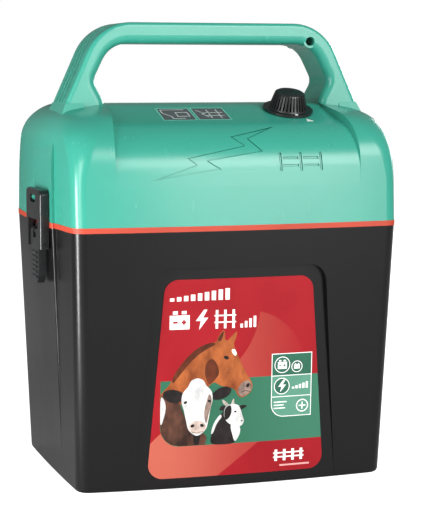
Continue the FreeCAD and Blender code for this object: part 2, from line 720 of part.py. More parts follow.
def frontRod(radius, across, level, start, end):
    return rod(radius, Vector(across, start, level), Vector(across, end, level))


def handleScrewPlaces():
    spots = ((size.legScrewX, size.legScrewZ), (size.barScrewX, size.barScrewZ))
    return [(side * across, level) for side in (-1, 1) for across, level in spots]


def columnPlaces():
    return [(side * size.columnX, depth) for side in (-1, 1) for depth in (size.columnFrontY, size.columnRearY)]


def windowPlaces(drop):
    return [onPanel(size.windowX + step * size.windowPitch, size.windowY, drop) for step in (0, 1)]


def windowBlock(width, length, thick, drop):
    block = Part.makeBox(width, length, thick, Vector(-width / 2, -length / 2, 0))
    return [placed(block, spot) for spot in windowPlaces(drop)]


def engraved(outlines):
    """Outlines sunk a little into the front curve, each with a deeper line round it."""
    start = size.seamFront * 1.4
    reach = Vector(0, -start * 0.75, 0)
    core = housingForm(0.0)
    sunk = core.translated(Vector(0, size.boltDepth, -size.boltDepth))
    deep = core.translated(Vector(0, size.lineDepth, -size.lineDepth))
    tools = []
    for outline in outlines:
        face = Part.Face(roundedOutline([(x, z, 0) for x, z in outline], frontView(start)))
        tools.append(face.extrude(reach).cut(sunk))
        rim = face.cut(face.makeOffset2D(-size.lineWidth))
        tools.append(rim.extrude(reach).cut(deep))
    return tools


def boltOutline():
    """Lightning bolt on the front curve."""
    return [(-63.0, 215.0), (-32.5, 225.0), (-38.5, 229.5), (3.0, 237.5), (-5.5, 243.5),
            (29.5, 250.0), (7.0, 242.0), (16.0, 233.5), (-24.0, 227.5), (-15.0, 222.0)]


def signOutlines():
    """Generic fence sign beside the bolt: three posts and the wires between them."""
    bar = size.signBar
    low, high = size.signFoot, size.signTop
    outlines = []
    for step in (-0.5, 0.0, 0.5):
        middle = size.signX + size.signWidth * step
        outlines.append([(middle - bar, low), (middle + bar, low), (middle + bar, high), (middle - bar, high)])
    for share in (0.3, 0.7):
        level = between(low, high, share)
        for step in (-0.5, 0.0):
            left = size.signX + size.signWidth * step + bar * 2
            right = left + size.signWidth / 2 - bar * 4
            outlines.append([(left, level - bar), (right, level - bar), (right, level + bar), (left, level + bar)])
    return outlines


def tubeAlong(points, bend, radius):
    """Round lead along straight runs joined by tangent arcs."""
    edges = []
    last = points[0]
    for before, here, after in zip(points, points[1:], points[2:]):
        back = unit(before - here)
        ahead = unit(after - here)
        angle = back.getAngle(ahead)
        cut = bend / math.tan(angle / 2)
        middle = here + unit(back + ahead) * (bend / math.sin(angle / 2) - bend)
        edges.append(Part.LineSegment(last, here + back * cut).toShape())
        edges.append(Part.Arc(here + back * cut, middle, here + ahead * cut).toShape())
        last = here + ahead * cut
    edges.append(Part.LineSegment(last, points[-1]).toShape())
    path = Part.Wire(edges)
    ring = Part.Wire([Part.Circle(points[0], points[1] - points[0], radius).toShape()])
    return path.makePipeShell([ring], True, True)


def outerHousing():
    legs = roundedHandle()
    lowBox = Part.makeBox(size.seamWidth * 2, size.seamWidth, 20.0,
                          Vector(-size.seamWidth, -size.seamWidth / 2, size.housingTop - 19.5))
    noses = bothSides(keeperNose())
    bosses = [frontRod(size.postBossRadius, side * size.postX, size.postZ, size.postBossY - 14, size.postBossY)
              for side in (-1, 1)]
    return housingForm(0.0).fuse([handleFrontShell(), legs.common(lowBox)] + bothSides(sideBand()) + noses + bosses)


def innerSolids():
    """Columns, screw bosses and the lock eye tube added after the hollow is cut."""
    form = housingForm(size.wall / 2)
    tray = size.trayZ + size.trayThickness
    parts = []
    for across, depth in columnPlaces():
        column = rod(size.columnRadius, Vector(across, depth, tray), Vector(across, depth, size.housingTop + 9))
        parts.append(column.common(form))
    seat = size.handleRear - size.coverThickness
    for across, level in handleScrewPlaces():
        parts.append(frontRod(size.screwRadius * 2.6, across, level, size.handleFront + 1, seat))
    parts.append(frontRod(size.lockEyeRadius + 1.5, size.lockEyeX, size.lockEyeZ, size.handleFront + 1, seat))
    return parts


def housingCuts():
    tray = size.trayZ + size.trayThickness
    pilot = size.screwRadius
    seat = size.handleRear - size.coverThickness
    tools = [rod(pilot, Vector(x, y, tray - 1), Vector(x, y, tray + size.screwLength)) for x, y in columnPlaces()]
    tools += [frontRod(pilot, x, z, seat - size.screwLength, seat + 1) for x, z in handleScrewPlaces()]
    tools.append(frontRod(size.lockEyeRadius, size.lockEyeX, size.lockEyeZ, size.handleFront - 2, size.handleRear + 2))
    tools += [frontRod(size.postRadius, side * size.postX, size.postZ, size.postInnerY, size.postBossY + 1)
              for side in (-1, 1)]
    tools += windowBlock(size.windowWidth, size.windowLength, size.windowThickness * 3, size.windowThickness)
    tools += [placed(Part.makeCylinder(size.ledRadius + 0.3, size.wall * 3), spot)
              for spot in windowPlaces(size.wall * 2)]
    tools.append(placed(Part.makeCylinder(size.bushRadius, size.wall * 4),
                        onPanel(size.knobX, size.knobY, size.wall * 2)))
    half = size.markSize / 2
    mark = [(-half, -half, 0), (half, -half, 0), (-size.markSize * 0.2, half, 0)]
    tools.append(placed(slab(mark, planView(0), up * size.wall), onPanel(size.markX, size.markY, size.markSink)))
    tools += legGrooves() + [tool.mirror(Vector(0, 0, 0), toRight) for tool in legGrooves()]
    tools += engraved([boltOutline()] + signOutlines())
    return tools


def topHousing():
    shell = outerHousing().cut(housingForm(size.wall)).cut(handleHollow())
    shell = shell.fuse(innerSolids())
    return shell.cut(housingCuts()).removeSplitter()


def handleBackCover():
    seat = size.handleRear - size.coverThickness
    plate = handleSlice(seat, size.handleRear + 1)
    lowBox = Part.makeBox(size.seamWidth * 2, size.seamWidth, 60.0,
                          Vector(-size.seamWidth, -size.seamWidth / 2, size.housingTop - 59.3))
    plate = plate.cut(lowBox)
    tools = [frontRod(size.screwRadius, x, z, seat - 1, size.handleRear + 1) for x, z in handleScrewPlaces()]
    tools += [frontRod(size.screwHead, x, z, size.handleRear - size.screwHeadHeight, size.handleRear + 1)
              for x, z in handleScrewPlaces()]
    tools.append(frontRod(size.lockEyeRadius * 1.15, size.lockEyeX, size.lockEyeZ, seat - 1, size.handleRear + 1))
    return plate.cut(tools)


def leadPath(side):
    """Battery lead from the tray down to its connector."""
    top = size.trayZ - 0.2
    cap = size.batteryFoot + size.batteryHeight + size.capLift + size.capHeight
    across = side * size.terminalX
    inner = side * (size.terminalX - size.leadShift)
    level = (top + cap) / 2
    return [Vector(inner, 0, top), Vector(inner, 0, level), Vector(across, 0, level), Vector(across, 0, cap)]


def outputPath(side):
    """Output wire from a post forward to the parts on the tray."""
    across = side * size.postX
    rear = size.postInnerY - 2.2
    low = size.trayZ + size.trayThickness + 0.1
    return [Vector(across, rear, size.postZ), Vector(across, rear - 12, size.postZ), Vector(across, rear - 12, low)]


def addScripted(label, shape):
    """Part::Feature for a form that sketches and primitives don't describe."""
    item = doc.addObject("Part::Feature", label)
    item.Label = label
    item.Shape = shape
    item.Placement = FreeCAD.Placement()
    return item


# ---- bound sketches ----

def linear(*terms):
    """Value and expression of a sum of scaled cells."""
    value = 0.0
    texts = []
    for term in terms:
        alias, factor = term if isinstance(term, tuple) else (term, 1)
        value += factor * getattr(size, alias)
        texts.append("%s * Sizes.%s" % (factor, alias))
    return value, " + ".join(texts)


def newBody(label, placement=None):
    body = doc.addObject("PartDesign::Body", label)
    body.Label = label
    body.AllowCompound = True
    body.Placement = placement or FreeCAD.Placement()
    return body


def newSketch(body, role, name, offset=None):
    sketch = body.newObject("Sketcher::SketchObject", name)
    plane = next(item for item in body.Origin.OriginFeatures if item.Role == role)
    sketch.AttachmentSupport = [(plane, "")]
    sketch.MapMode = "FlatFace"
    if offset:
        sketch.AttachmentOffset = FreeCAD.Placement(Vector(0, 0, offset[0]), Rotation())
        sketch.setExpression("AttachmentOffset.Base.z", offset[1])
    return sketch


def pinDown(sketch, index, place, across, along):
    """Binds a point of the sketch to two sheet expressions."""
    for kind, (value, text) in (("DistanceX", across), ("DistanceY", along)):
        number = sketch.addConstraint(Sketcher.Constraint(kind, -1, 1, index, place, value))
        sketch.setExpression("Constraints[%d]" % number, text)


def drawPolygon(sketch, vertices):
    points = [Vector(across[0], along[0], 0) for across, along in vertices]
    first = sketch.GeometryCount
    count = len(points)
    for index, point in enumerate(points):
        sketch.addGeometry(Part.LineSegment(point, points[(index + 1) % count]), False)
    for index in range(count):
        following = first + (index + 1) % count
        sketch.addConstraint(Sketcher.Constraint("Coincident", first + index, 2, following, 1))
    for index, (across, along) in enumerate(vertices):
        pinDown(sketch, first + index, 1, across, along)


def drawBlock(sketch, left, right, low, high):
    drawPolygon(sketch, [(left, low), (right, low), (right, high), (left, high)])


def drawCircle(sketch, across, along, radius):
    index = sketch.addGeometry(Part.Circle(Vector(across[0], along[0], 0), up, radius[0]), False)
    pinDown(sketch, index, 3, across, along)
    number = sketch.addConstraint(Sketcher.Constraint("Radius", index, radius[0]))
    sketch.setExpression("Constraints[%d]" % number, radius[1])


def addFeature(body, kind, name, sketch, length, reverse=False, middle=False):
    feature = body.newObject("PartDesign::" + kind, name)
    feature.Profile = sketch
    feature.Length = length[0]
    feature.setExpression("Length", length[1])
    feature.Reversed = reverse
    feature.Midplane = middle
    sketch.Visibility = False
    return feature


def roundEdges(body, name, radius, wanted):
    doc.recompute()
    last = body.Tip
    names = ["Edge%d" % (index + 1) for index, edge in enumerate(last.Shape.Edges) if wanted(edge)]
    feature = body.newObject("PartDesign::Fillet", name)
    feature.Base = (last, names)
    feature.Radius = radius
    return feature


def isAlong(edge, axis):
    if len(edge.Vertexes) < 2:
        return False
    run = edge.Vertexes[1].Point - edge.Vertexes[0].Point
    return edge.Curve.TypeId == "Part::GeomLine" and run.Length > 0 and abs(abs(run * axis) / run.Length - 1) < 1e-6


def negative(pair):
    return -pair[0], "-(" + pair[1] + ")"


# ---- battery side ----

def makeFeet():
    body = newBody("rubber_feet")
    sketch = newSketch(body, "XY_Plane", "feetOutline")
    for side in (-1, 1):
        for depth in ("footFrontY", "footRearY"):
            drawCircle(sketch, linear(("footX", side)), linear(depth), linear("footRadius"))
    addFeature(body, "Pad", "feetPad", sketch, linear("caseBottom", "footSink"))


def makeBattery():
    place = FreeCAD.Placement(Vector(0, size.terminalRadius * 0.6, size.batteryFoot), Rotation())
    body = newBody("battery_block", place)
    sketch = newSketch(body, "XY_Plane", "blockOutline")
    half = linear(("batteryWidth", 0.5))
    deep = linear(("batteryDepth", 0.5))
    drawBlock(sketch, negative(half), half, negative(deep), deep)
    addFeature(body, "Pad", "blockPad", sketch, linear("batteryHeight"))
    roundEdges(body, "blockEdges", size.batteryEdge, lambda edge: isAlong(edge, up))
    lift = FreeCAD.Placement(Vector(0, 0, size.batteryFoot + size.batteryHeight), Rotation())
    posts = newBody("battery_terminals", lift)
    sketch = newSketch(posts, "XY_Plane", "terminalOutline")
    for side in (-1, 1):
        drawCircle(sketch, linear(("terminalX", side)), linear(("terminalX", 0.0)), linear("terminalRadius"))
    addFeature(posts, "Pad", "terminalPad", sketch, linear("terminalHeight"))


# ---- latches ----

def latchPlace(side):
    return FreeCAD.Placement(Vector(0, size.latchY, 0), Rotation(up, 180 if side < 0 else 0))


def acrossPin(label, places, radius, length, placement):
    """Pins along the depth axis at (x, level) places."""
    body = newBody(label, placement)
    sketch = newSketch(body, "XZ_Plane", label + "Outline")
    for across, level in places:
        drawCircle(sketch, across, level, radius)
    addFeature(body, "Pad", label + "Pad", sketch, length, middle=True)
    return body


def makePivotPins():
    places = [(linear(("pivotX", side)), linear("pivotZ")) for side in (-1, 1)]
    acrossPin("latch_pivot_pins", places, linear("pivotPinRadius"), linear("leverWidth"), latchPlace(1))


def makeHasp(name, side):
    body = newBody("latch_hasp_" + name, latchPlace(side))
    half = linear(("haspWidth", 0.5))
    start = linear("haspInnerX")
    shell = newSketch(body, "YZ_Plane", "haspOutline" + name, start)
    drawBlock(shell, negative(half), half, linear("haspFoot"), linear("haspTop"))
    addFeature(body, "Pad", "haspPad" + name, shell, linear("haspOuterX", ("haspInnerX", -1)))
    roundEdges(body, "haspCorners" + name, size.haspFlange * 1.4,
               lambda edge: isAlong(edge, toRight) and edge.Vertexes[0].Point.z > size.haspOpeningTop)
    hollow = newSketch(body, "YZ_Plane", "haspHollow" + name, start)
    inside = linear(("haspWidth", 0.5), ("haspFlange", -1))
    drawBlock(hollow, negative(inside), inside, linear("linkZ", ("haspFlange", 2)), linear("haspTop", ("haspFlange", -1)))
    depth = linear("haspOuterX", ("haspInnerX", -1), ("haspPlate", -1))
    addFeature(body, "Pocket", "haspHollowCut" + name, hollow, depth, reverse=True)
    gap = newSketch(body, "YZ_Plane", "haspGap" + name, start)
    edge = linear(("haspWidth", 0.5), ("haspArm", -1))
    drawBlock(gap, negative(edge), edge, linear("haspFoot", ("haspFlange", -1)), linear("haspOpeningTop"))
    through = linear("haspOuterX", ("haspInnerX", -1))
    addFeature(body, "Pocket", "haspGapCut" + name, gap, through, reverse=True)
    window = newSketch(body, "YZ_Plane", "haspWindow" + name, start)
    wide = linear(("keeperWidth", 0.5), ("grooveDepth", 0.6))
    drawBlock(window, negative(wide), wide, linear("keeperFoot", ("grooveDepth", -1)), linear("keeperTop", ("pinFit", 7)))
    addFeature(body, "Pocket", "haspWindowCut" + name, window, through, reverse=True)
    bore = newSketch(body, "XZ_Plane", "haspBore" + name)
    drawCircle(bore, linear("linkX"), linear("linkZ"), linear("linkPinRadius", "pinFit"))
    addFeature(body, "Pocket", "haspBoreCut" + name, bore, linear("haspWidth", "haspArm"), middle=True)
    roundEdges(body, "haspEdges" + name, size.haspFlange * 0.6,
               lambda edge: isAlong(edge, up) and edge.Vertexes[0].Point.x > size.haspOuterX - 0.01
               and abs(edge.Vertexes[0].Point.y) > size.haspWidth / 2 - 0.01)
    pinSpan = linear("haspWidth", ("haspFlange", -0.6))
    acrossPin("hasp_pin_" + name, [(linear("linkX"), linear("linkZ"))], linear("linkPinRadius"), pinSpan,
              latchPlace(side))


def makeLever(name, side):
    body = newBody("latch_lever_" + name, latchPlace(side))
    half = linear(("leverWidth", 0.5))
    start = linear("leverInnerX")
    plate = newSketch(body, "YZ_Plane", "leverOutline" + name, start)
    drawBlock(plate, negative(half), half, linear("leverFoot"), linear("pivotZ"))
    addFeature(body, "Pad", "leverPad" + name, plate, linear("leverOuterX", ("leverInnerX", -1)))
    eye = newSketch(body, "XZ_Plane", "leverEye" + name)
    drawCircle(eye, linear("pivotX"), linear("pivotZ"), linear("leverEnd"))
    addFeature(body, "Pad", "leverEyePad" + name, eye, linear("leverWidth"), middle=True)
    roundEdges(body, "leverCorners" + name, size.leverWidth * 0.36,
               lambda edge: isAlong(edge, toRight) and edge.Vertexes[0].Point.z < size.leverFoot + 0.01)
    slot = newSketch(body, "YZ_Plane", "leverSlotOutline" + name, linear("leverInnerX", ("leverEnd", -1)))
    narrow = linear(("leverSlot", 0.5))
    drawBlock(slot, negative(narrow), narrow, linear("pivotZ", ("leverEnd", -1.6)), linear("pivotZ", ("leverEnd", 2)))
    addFeature(body, "Pocket", "leverSlotCut" + name, slot, linear(("leverEnd", 4)), reverse=True)
    bore = newSketch(body, "XZ_Plane", "leverBore" + name)
    drawCircle(bore, linear("pivotX"), linear("pivotZ"), linear("pivotPinRadius", "pinFit"))
    drawCircle(bore, linear("linkX"), linear("linkZ"), linear("linkPinRadius"))
    addFeature(body, "Pocket", "leverBoreCut" + name, bore, linear(("leverWidth", 2)), middle=True)
    rib = newSketch(body, "YZ_Plane", "leverRib" + name, linear("leverOuterX"))
    wide = linear(("leverWidth", 0.33))
    low = linear("leverFoot", ("gripPitch", 1.2))
    drawBlock(rib, negative(wide), wide, low, linear("leverFoot", ("gripPitch", 1.6)))
    ribPad = addFeature(body, "Pad", "leverRibPad" + name, rib, linear(("pinFit", 14)))
    rows = body.newObject("PartDesign::LinearPattern", "leverRibs" + name)
    rows.Originals = [ribPad]
    rows.Direction = (rib, ["V_Axis"])
    rows.Occurrences = int(size.gripRibs)
    rows.Length = size.gripPitch * (size.gripRibs - 1)
    rows.setExpression("Length", "Sizes.gripPitch * (Sizes.gripRibs - 1)")
    body.Tip = rows
    return body


# ---- knob and switch ----

def makeKnob():
    place = onPanel(size.knobX, size.knobY, -size.knobGap)
    body = newBody("knob", place)
    outline = newSketch(body, "XZ_Plane", "knobOutline")
    zero = linear(("knobGap", 0.0))
    inner = linear("nutAcross", ("fluteRadius", 1.6))
    roof = linear("nutThickness", ("sealThickness", 2.4))
    bore = linear("knobHeight", ("fluteRadius", -4))
    profile = [(inner, zero), (linear("knobSkirt"), zero), (linear("knobSkirt"), linear("skirtThickness")),
               (linear("knobFoot", ("fluteRadius", 1.0)), linear(("skirtThickness", 1.0001))),
               (linear("knobFoot"), linear(("skirtThickness", 2.6))),
               (linear("knobCrown"), linear("knobHeight", ("fluteRadius", -2.6))),
               (linear(("knobCrown", 0.95)), linear("knobHeight", ("fluteRadius", -1.7))),
               (linear(("knobCrown", 0.84)), linear("knobHeight", ("fluteRadius", -1.0))),
               (linear(("knobCrown", 0.6)), linear("knobHeight", ("fluteRadius", -0.4))),
               (zero, linear("knobHeight")), (zero, bore), (linear("shaftRadius"), bore),
               (linear("shaftRadius"), roof), (inner, roof)]
    drawPolygon(outline, profile)
    turned = body.newObject("PartDesign::Revolution", "knobTurned")
    turned.Profile = outline
    turned.ReferenceAxis = (outline, ["V_Axis"])
    turned.Angle = 360
    flute = newSketch(body, "XY_Plane", "fluteOutline", linear(("skirtThickness", 1.6)))
    deep = linear("knobCrown", ("fluteRadius", -0.9))
    rim = linear("knobFoot", ("fluteRadius", 1.4))
    narrow = linear(("fluteRadius", 0.3))
    wide = linear(("fluteRadius", 0.78))
    drawPolygon(flute, [(deep, negative(narrow)), (rim, negative(wide)), (rim, wide), (deep, narrow)])
    fluteCut = addFeature(body, "Pocket", "fluteCut", flute, linear("knobHeight"), reverse=True)
    ring = body.newObject("PartDesign::PolarPattern", "flutes")
    ring.Originals = [fluteCut]
    ring.Axis = (outline, ["V_Axis"])
    ring.Angle = 360
    ring.Occurrences = int(size.fluteCount)
    body.Tip = ring
    shaft = newBody("switch_shaft", place)
    sketch = newSketch(shaft, "XY_Plane", "shaftOutline", linear("knobHeight", ("fluteRadius", -4), ("shaftLength", -1)))
    drawCircle(sketch, zero, zero, linear("shaftRadius"))
    addFeature(shaft, "Pad", "shaftPad", sketch, linear("shaftLength"))
    dot = newBody("knob_dot", place)
    sketch = newSketch(dot, "XY_Plane", "dotOutline", linear(("skirtThickness", 1.0001)))
    drawCircle(sketch, zero, linear(("knobSkirt", -0.9)), linear(("fluteRadius", 1.3)))
    addFeature(dot, "Pad", "dotPad", sketch, linear(("pinFit", 5)))


def turnedStack(label, placement, rings, bore):
    """Body of stacked discs (radius, start, length) with a bore."""
    body = newBody(label, placement)
    centre = linear(("knobGap", 0.0))
    for index, (radius, start, length) in enumerate(rings):
        sketch = newSketch(body, "XY_Plane", "%sDisc%d" % (label, index), start)
        drawCircle(sketch, centre, centre, radius)
        if bore:
            drawCircle(sketch, centre, centre, bore)
        addFeature(body, "Pad", "%sPad%d" % (label, index), sketch, length)
    return body


def makeSwitch():
    place = onPanel(size.knobX, size.knobY)
    bore = linear("shaftRadius", "bushFit")
    below = linear(("switchHeight", -1), ("wall", -1), ("bushFit", -2))
    top = linear("sealThickness", "nutThickness", ("bushFit", 3))
    rise = linear("switchHeight", "wall", "sealThickness", "nutThickness", ("bushFit", 5))
    turnedStack("rotary_switch", place, [(linear("switchRadius"), below, linear("switchHeight")),
                                         (linear("bushRadius"), below, rise)], bore)
    turnedStack("switch_seal", place, [(linear("sealRadius"), linear(("bushFit", 1)), linear("sealThickness"))],
                linear("bushRadius"))
    nut = newBody("switch_nut", place)
    sketch = newSketch(nut, "XY_Plane", "nutOutline", linear("sealThickness", "bushFit"))
    hexagon = []
    for corner in range(6):
        angle = math.radians(60 * corner)
        hexagon.append((linear(("nutAcross", math.cos(angle))), linear(("nutAcross", math.sin(angle)))))
    drawPolygon(sketch, hexagon)
    drawCircle(sketch, linear(("knobGap", 0.0)), linear(("knobGap", 0.0)), linear("bushRadius"))
    addFeature(nut, "Pad", "nutPad", sketch, linear("nutThickness"))
    mark = newBody("pointer_mark", onPanel(size.markX, size.markY, size.markSink))
    sketch = newSketch(mark, "XY_Plane", "markOutline")
    drawPolygon(sketch, [(linear(("markSize", -0.5)), linear(("markSize", -0.5))),
                         (linear(("markSize", 0.5)), linear(("markSize", -0.5))),
                         (linear(("markSize", -0.2)), linear(("markSize", 0.5)))])
    addFeature(mark, "Pad", "markPad", sketch, linear(("markSink", 1.5)))


# ---- electronics ----

def makeTray():
    body = newBody("electronics_tray", FreeCAD.Placement(Vector(0, 0, size.trayZ), Rotation()))
    sketch = newSketch(body, "XY_Plane", "trayOutline")
    half = linear(("trayWidth", 0.5))
    deep = linear(("trayDepth", 0.5))
    drawBlock(sketch, negative(half), half, negative(deep), deep)
    for across, depth in (("columnX", "columnFrontY"), ("columnX", "columnRearY")):
        for side in (-1, 1):
            drawCircle(sketch, linear((across, side)), linear(depth), linear("screwRadius"))
    addFeature(body, "Pad", "trayPad", sketch, linear("trayThickness"))
    roundEdges(body, "trayCorners", size.cornerRadius,
               lambda edge: isAlong(edge, up) and abs(edge.Vertexes[0].Point.x) > size.trayWidth / 2 - 0.1)
    stand = newSketch(body, "XY_Plane", "standoffOutline", linear("trayThickness"))
    for across, depth in boardHoles():
        drawCircle(stand, across, depth, linear("screwHead"))
    addFeature(body, "Pad", "standoffPad", stand, linear("standoff"))
    pilot = newSketch(body, "XY_Plane", "pilotOutline", linear("trayThickness"))
    for across, depth in boardHoles():
        drawCircle(pilot, across, depth, linear("screwRadius"))
    addFeature(body, "Pocket", "pilotCut", pilot, linear("standoff"), reverse=True)


def boardHoles():
    holes = []
    for side in (-1, 1):
        for end in (-1, 1):
            holes.append((linear(("boardWidth", side * 0.46)), linear("boardY", ("boardDepth", end * 0.43))))
    return holes


def makeBoard():
    level = size.trayZ + size.trayThickness + size.standoff
    place = FreeCAD.Placement(Vector(0, 0, level), Rotation())
    body = newBody("circuit_board", place)
    sketch = newSketch(body, "XY_Plane", "boardOutline")
    half = linear(("boardWidth", 0.5))
    low = linear("boardY", ("boardDepth", -0.5))
    high = linear("boardY", ("boardDepth", 0.5))
    drawBlock(sketch, negative(half), half, low, high)
    for across, depth in boardHoles():
        drawCircle(sketch, across, depth, linear("screwRadius"))
    addFeature(body, "Pad", "boardPad", sketch, linear("boardThickness"))
    chips = newSketch(body, "XY_Plane", "chipOutline", linear("boardThickness"))
    for shift in (-0.28, 0.0, 0.24):
        drawBlock(chips, linear(("boardWidth", shift - 0.06)), linear(("boardWidth", shift + 0.06)),
                  linear("boardY", ("boardDepth", -0.1)), linear("boardY", ("boardDepth", 0.14)))
    addFeature(body, "Pad", "chipPad", chips, linear("standoff"))


def screwGroup(label, placement, places, headFirst):
    """Screws along local Z: heads from zero upwards, shanks downwards."""
    body = newBody(label, placement)
    shank = newSketch(body, "XY_Plane", label + "Shank")
    head = newSketch(body, "XY_Plane", label + "Head")
    for across, along in places:
        drawCircle(shank, across, along, linear("screwRadius"))
        drawCircle(head, across, along, linear("screwHead"))
    addFeature(body, "Pad", label + "ShankPad", shank, linear(("screwLength", headFirst)), reverse=True)
    addFeature(body, "Pad", label + "HeadPad", head, linear("screwHeadHeight"))


def makeScrews():
    seat = Vector(0, size.handleRear - size.screwHeadHeight, 0)
    places = [(linear((across, side)), linear((level, -1))) for side in (-1, 1)
              for across, level in (("legScrewX", "legScrewZ"), ("barScrewX", "barScrewZ"))]
    screwGroup("handle_screws", FreeCAD.Placement(seat, Rotation(toRight, -90)), places, 1.0)
    under = FreeCAD.Placement(Vector(0, 0, size.trayZ), Rotation(toRight, 180))
    places = [(linear(("columnX", side)), linear((depth, -1))) for side in (-1, 1)
              for depth in ("columnFrontY", "columnRearY")]
    screwGroup("tray_screws", under, places, 1.0)
    level = size.trayZ + size.trayThickness + size.standoff + size.boardThickness
    screwGroup("board_screws", FreeCAD.Placement(Vector(0, 0, level), Rotation()), boardHoles(), 0.58)


def makeTransformer():
    level = size.trayZ + size.trayThickness
    place = FreeCAD.Placement(Vector(size.coreX, size.coreY, level), Rotation())
    body = newBody("transformer_core", place)
    sketch = newSketch(body, "XZ_Plane", "coreOutline")
    half = linear(("coreWidth", 0.5))
    drawBlock(sketch, negative(half), half, linear(("coreHeight", 0.0)), linear("coreHeight"))
    for side in (-1, 1):
        near = linear(("coreLeg", side * 0.5))
        far = linear(("coreWidth", side * 0.5), ("coreLeg", -side * 0.5))
        left, right = (near, far) if side > 0 else (far, near)
        drawBlock(sketch, left, right, linear(("coreLeg", 0.5)), linear("coreHeight", ("coreLeg", -0.5)))
    addFeature(body, "Pad", "corePad", sketch, linear("coreDepth"), middle=True)
    coil = newBody("transformer_coil", place)
    sketch = newSketch(coil, "XY_Plane", "coilOutline", linear(("coreLeg", 0.52)))
    wide = linear(("coreWidth", 0.5), ("coreLeg", -0.52))
    deep = linear(("coreDepth", 0.5), "coilGrowth")
    drawBlock(sketch, negative(wide), wide, negative(deep), deep)
    leg = linear(("coreLeg", 0.502))
    legDeep = linear(("coreDepth", 0.502))
    drawBlock(sketch, negative(leg), leg, negative(legDeep), legDeep)
    addFeature(coil, "Pad", "coilPad", sketch, linear("coreHeight", ("coreLeg", -1.04)))
    roundEdges(coil, "coilCorners", size.coilGrowth * 0.7,
               lambda edge: isAlong(edge, up) and abs(edge.Vertexes[0].Point.y) > size.coreDepth / 2 + 1)


def makeCapacitor():
    level = size.trayZ + size.trayThickness + size.capacitorRadius + size.strapThickness
    turn = Rotation(toRear, 90)
    start = Vector(size.capacitorX - size.capacitorLength / 2, size.capacitorY, level)
    centre = linear(("knobGap", 0.0))
    body = newBody("storage_capacitor", FreeCAD.Placement(start, turn))
    sketch = newSketch(body, "XY_Plane", "canOutline")
    drawCircle(sketch, centre, centre, linear("capacitorRadius"))
    addFeature(body, "Pad", "canPad", sketch, linear("capacitorLength"))
    roundEdges(body, "canEdges", size.strapThickness * 1.2, lambda edge: len(edge.Vertexes) == 1)
    middle = Vector(size.capacitorX - size.strapWidth / 2, size.capacitorY, level)
    strap = newBody("capacitor_strap", FreeCAD.Placement(middle, turn))
    sketch = newSketch(strap, "XY_Plane", "strapOutline")
    drawCircle(sketch, centre, centre, linear("capacitorRadius", "strapThickness"))
    drawCircle(sketch, centre, centre, linear("capacitorRadius", ("pinFit", 0.5)))
    addFeature(strap, "Pad", "strapPad", sketch, linear("strapWidth"))
    tab = newSketch(strap, "XY_Plane", "strapTab")
    reach = linear("capacitorRadius", ("strapThickness", 1.0))
    low = linear("capacitorRadius")
    drawBlock(tab, low, reach, linear(("capacitorRadius", -0.7)), linear(("capacitorRadius", 0.7)))


# ---- output posts ----

def makePosts():
    for name, side in (("fence", -1), ("earth", 1)):
        across = side * size.postX
        centre = linear(("knobGap", 0.0))
        turn = Rotation(toRight, -90)
        body = newBody(name + "_post", FreeCAD.Placement(Vector(across, 0, size.postZ), turn))
        sketch = newSketch(body, "XY_Plane", name + "Rod", linear("postInnerY"))
        drawCircle(sketch, centre, centre, linear("postRadius"))
        addFeature(body, "Pad", name + "RodPad", sketch, linear("postNeck", ("postInnerY", -1)))
        tip = newSketch(body, "XY_Plane", name + "Tip", linear("postNeck"))
        drawCircle(tip, centre, centre, linear("postTip"))
        addFeature(body, "Pad", name + "TipPad", tip, linear("postReach", ("postNeck", -1)))
        nut = newBody(name + "_nut", FreeCAD.Placement(Vector(across, 0, size.postZ), turn))
        start = linear("postBossY", "washerThickness", ("pinFit", 5))
        sketch = newSketch(nut, "XY_Plane", name + "NutOutline", start)
        drawCircle(sketch, centre, centre, linear("nutRadius"))
        drawCircle(sketch, centre, centre, linear("postRadius", "pinFit"))
        addFeature(nut, "Pad", name + "NutPad", sketch, linear("nutLength"))
        knurl = newSketch(nut, "XY_Plane", name + "KnurlOutline", start)
        drawCircle(knurl, linear("nutRadius", ("wireRadius", 0.35)), centre, linear("wireRadius"))
        cut = addFeature(nut, "Pocket", name + "KnurlCut", knurl, linear("nutLength"), reverse=True)
        ring = nut.newObject("PartDesign::PolarPattern", name + "Knurls")
        ring.Originals = [cut]
        ring.Axis = (sketch, ["N_Axis"])
        ring.Angle = 360
        ring.Occurrences = 16
        nut.Tip = ring
    for label, radius, start, length in (
            ("post_washers", linear("washerRadius"), linear("postBossY"), linear("washerThickness")),
            ("post_lock_nuts", linear("lockNutAcross"), linear("postInnerY", ("wireRadius", 2)), linear("postRadius"))):
        body = newBody(label, FreeCAD.Placement(Vector(0, 0, size.postZ), Rotation(toRight, -90)))
        sketch = newSketch(body, "XY_Plane", label + "Outline", start)
        for side in (-1, 1):
            drawCircle(sketch, linear(("postX", side)), linear(("postX", 0.0)), radius)
            drawCircle(sketch, linear(("postX", side)), linear(("postX", 0.0)), linear("postRadius"))
        addFeature(body, "Pad", label + "Pad", sketch, length)


def makeConnectors():
    level = size.batteryFoot + size.batteryHeight + size.capLift
    body = newBody("lead_connectors", FreeCAD.Placement(Vector(0, 0, level), Rotation()))
    outline = newSketch(body, "XY_Plane", "capOutline")
    bore = newSketch(body, "XY_Plane", "capBore")
    for side in (-1, 1):
        spot = (linear(("terminalX", side)), linear(("terminalX", 0.0)))
        drawCircle(outline, *spot, linear("capRadius"))
        drawCircle(bore, *spot, linear("terminalRadius", "capGap"))
    addFeature(body, "Pad", "capPad", outline, linear("capHeight"))
    addFeature(body, "Pocket", "capBoreCut", bore, linear("terminalHeight"), reverse=True)


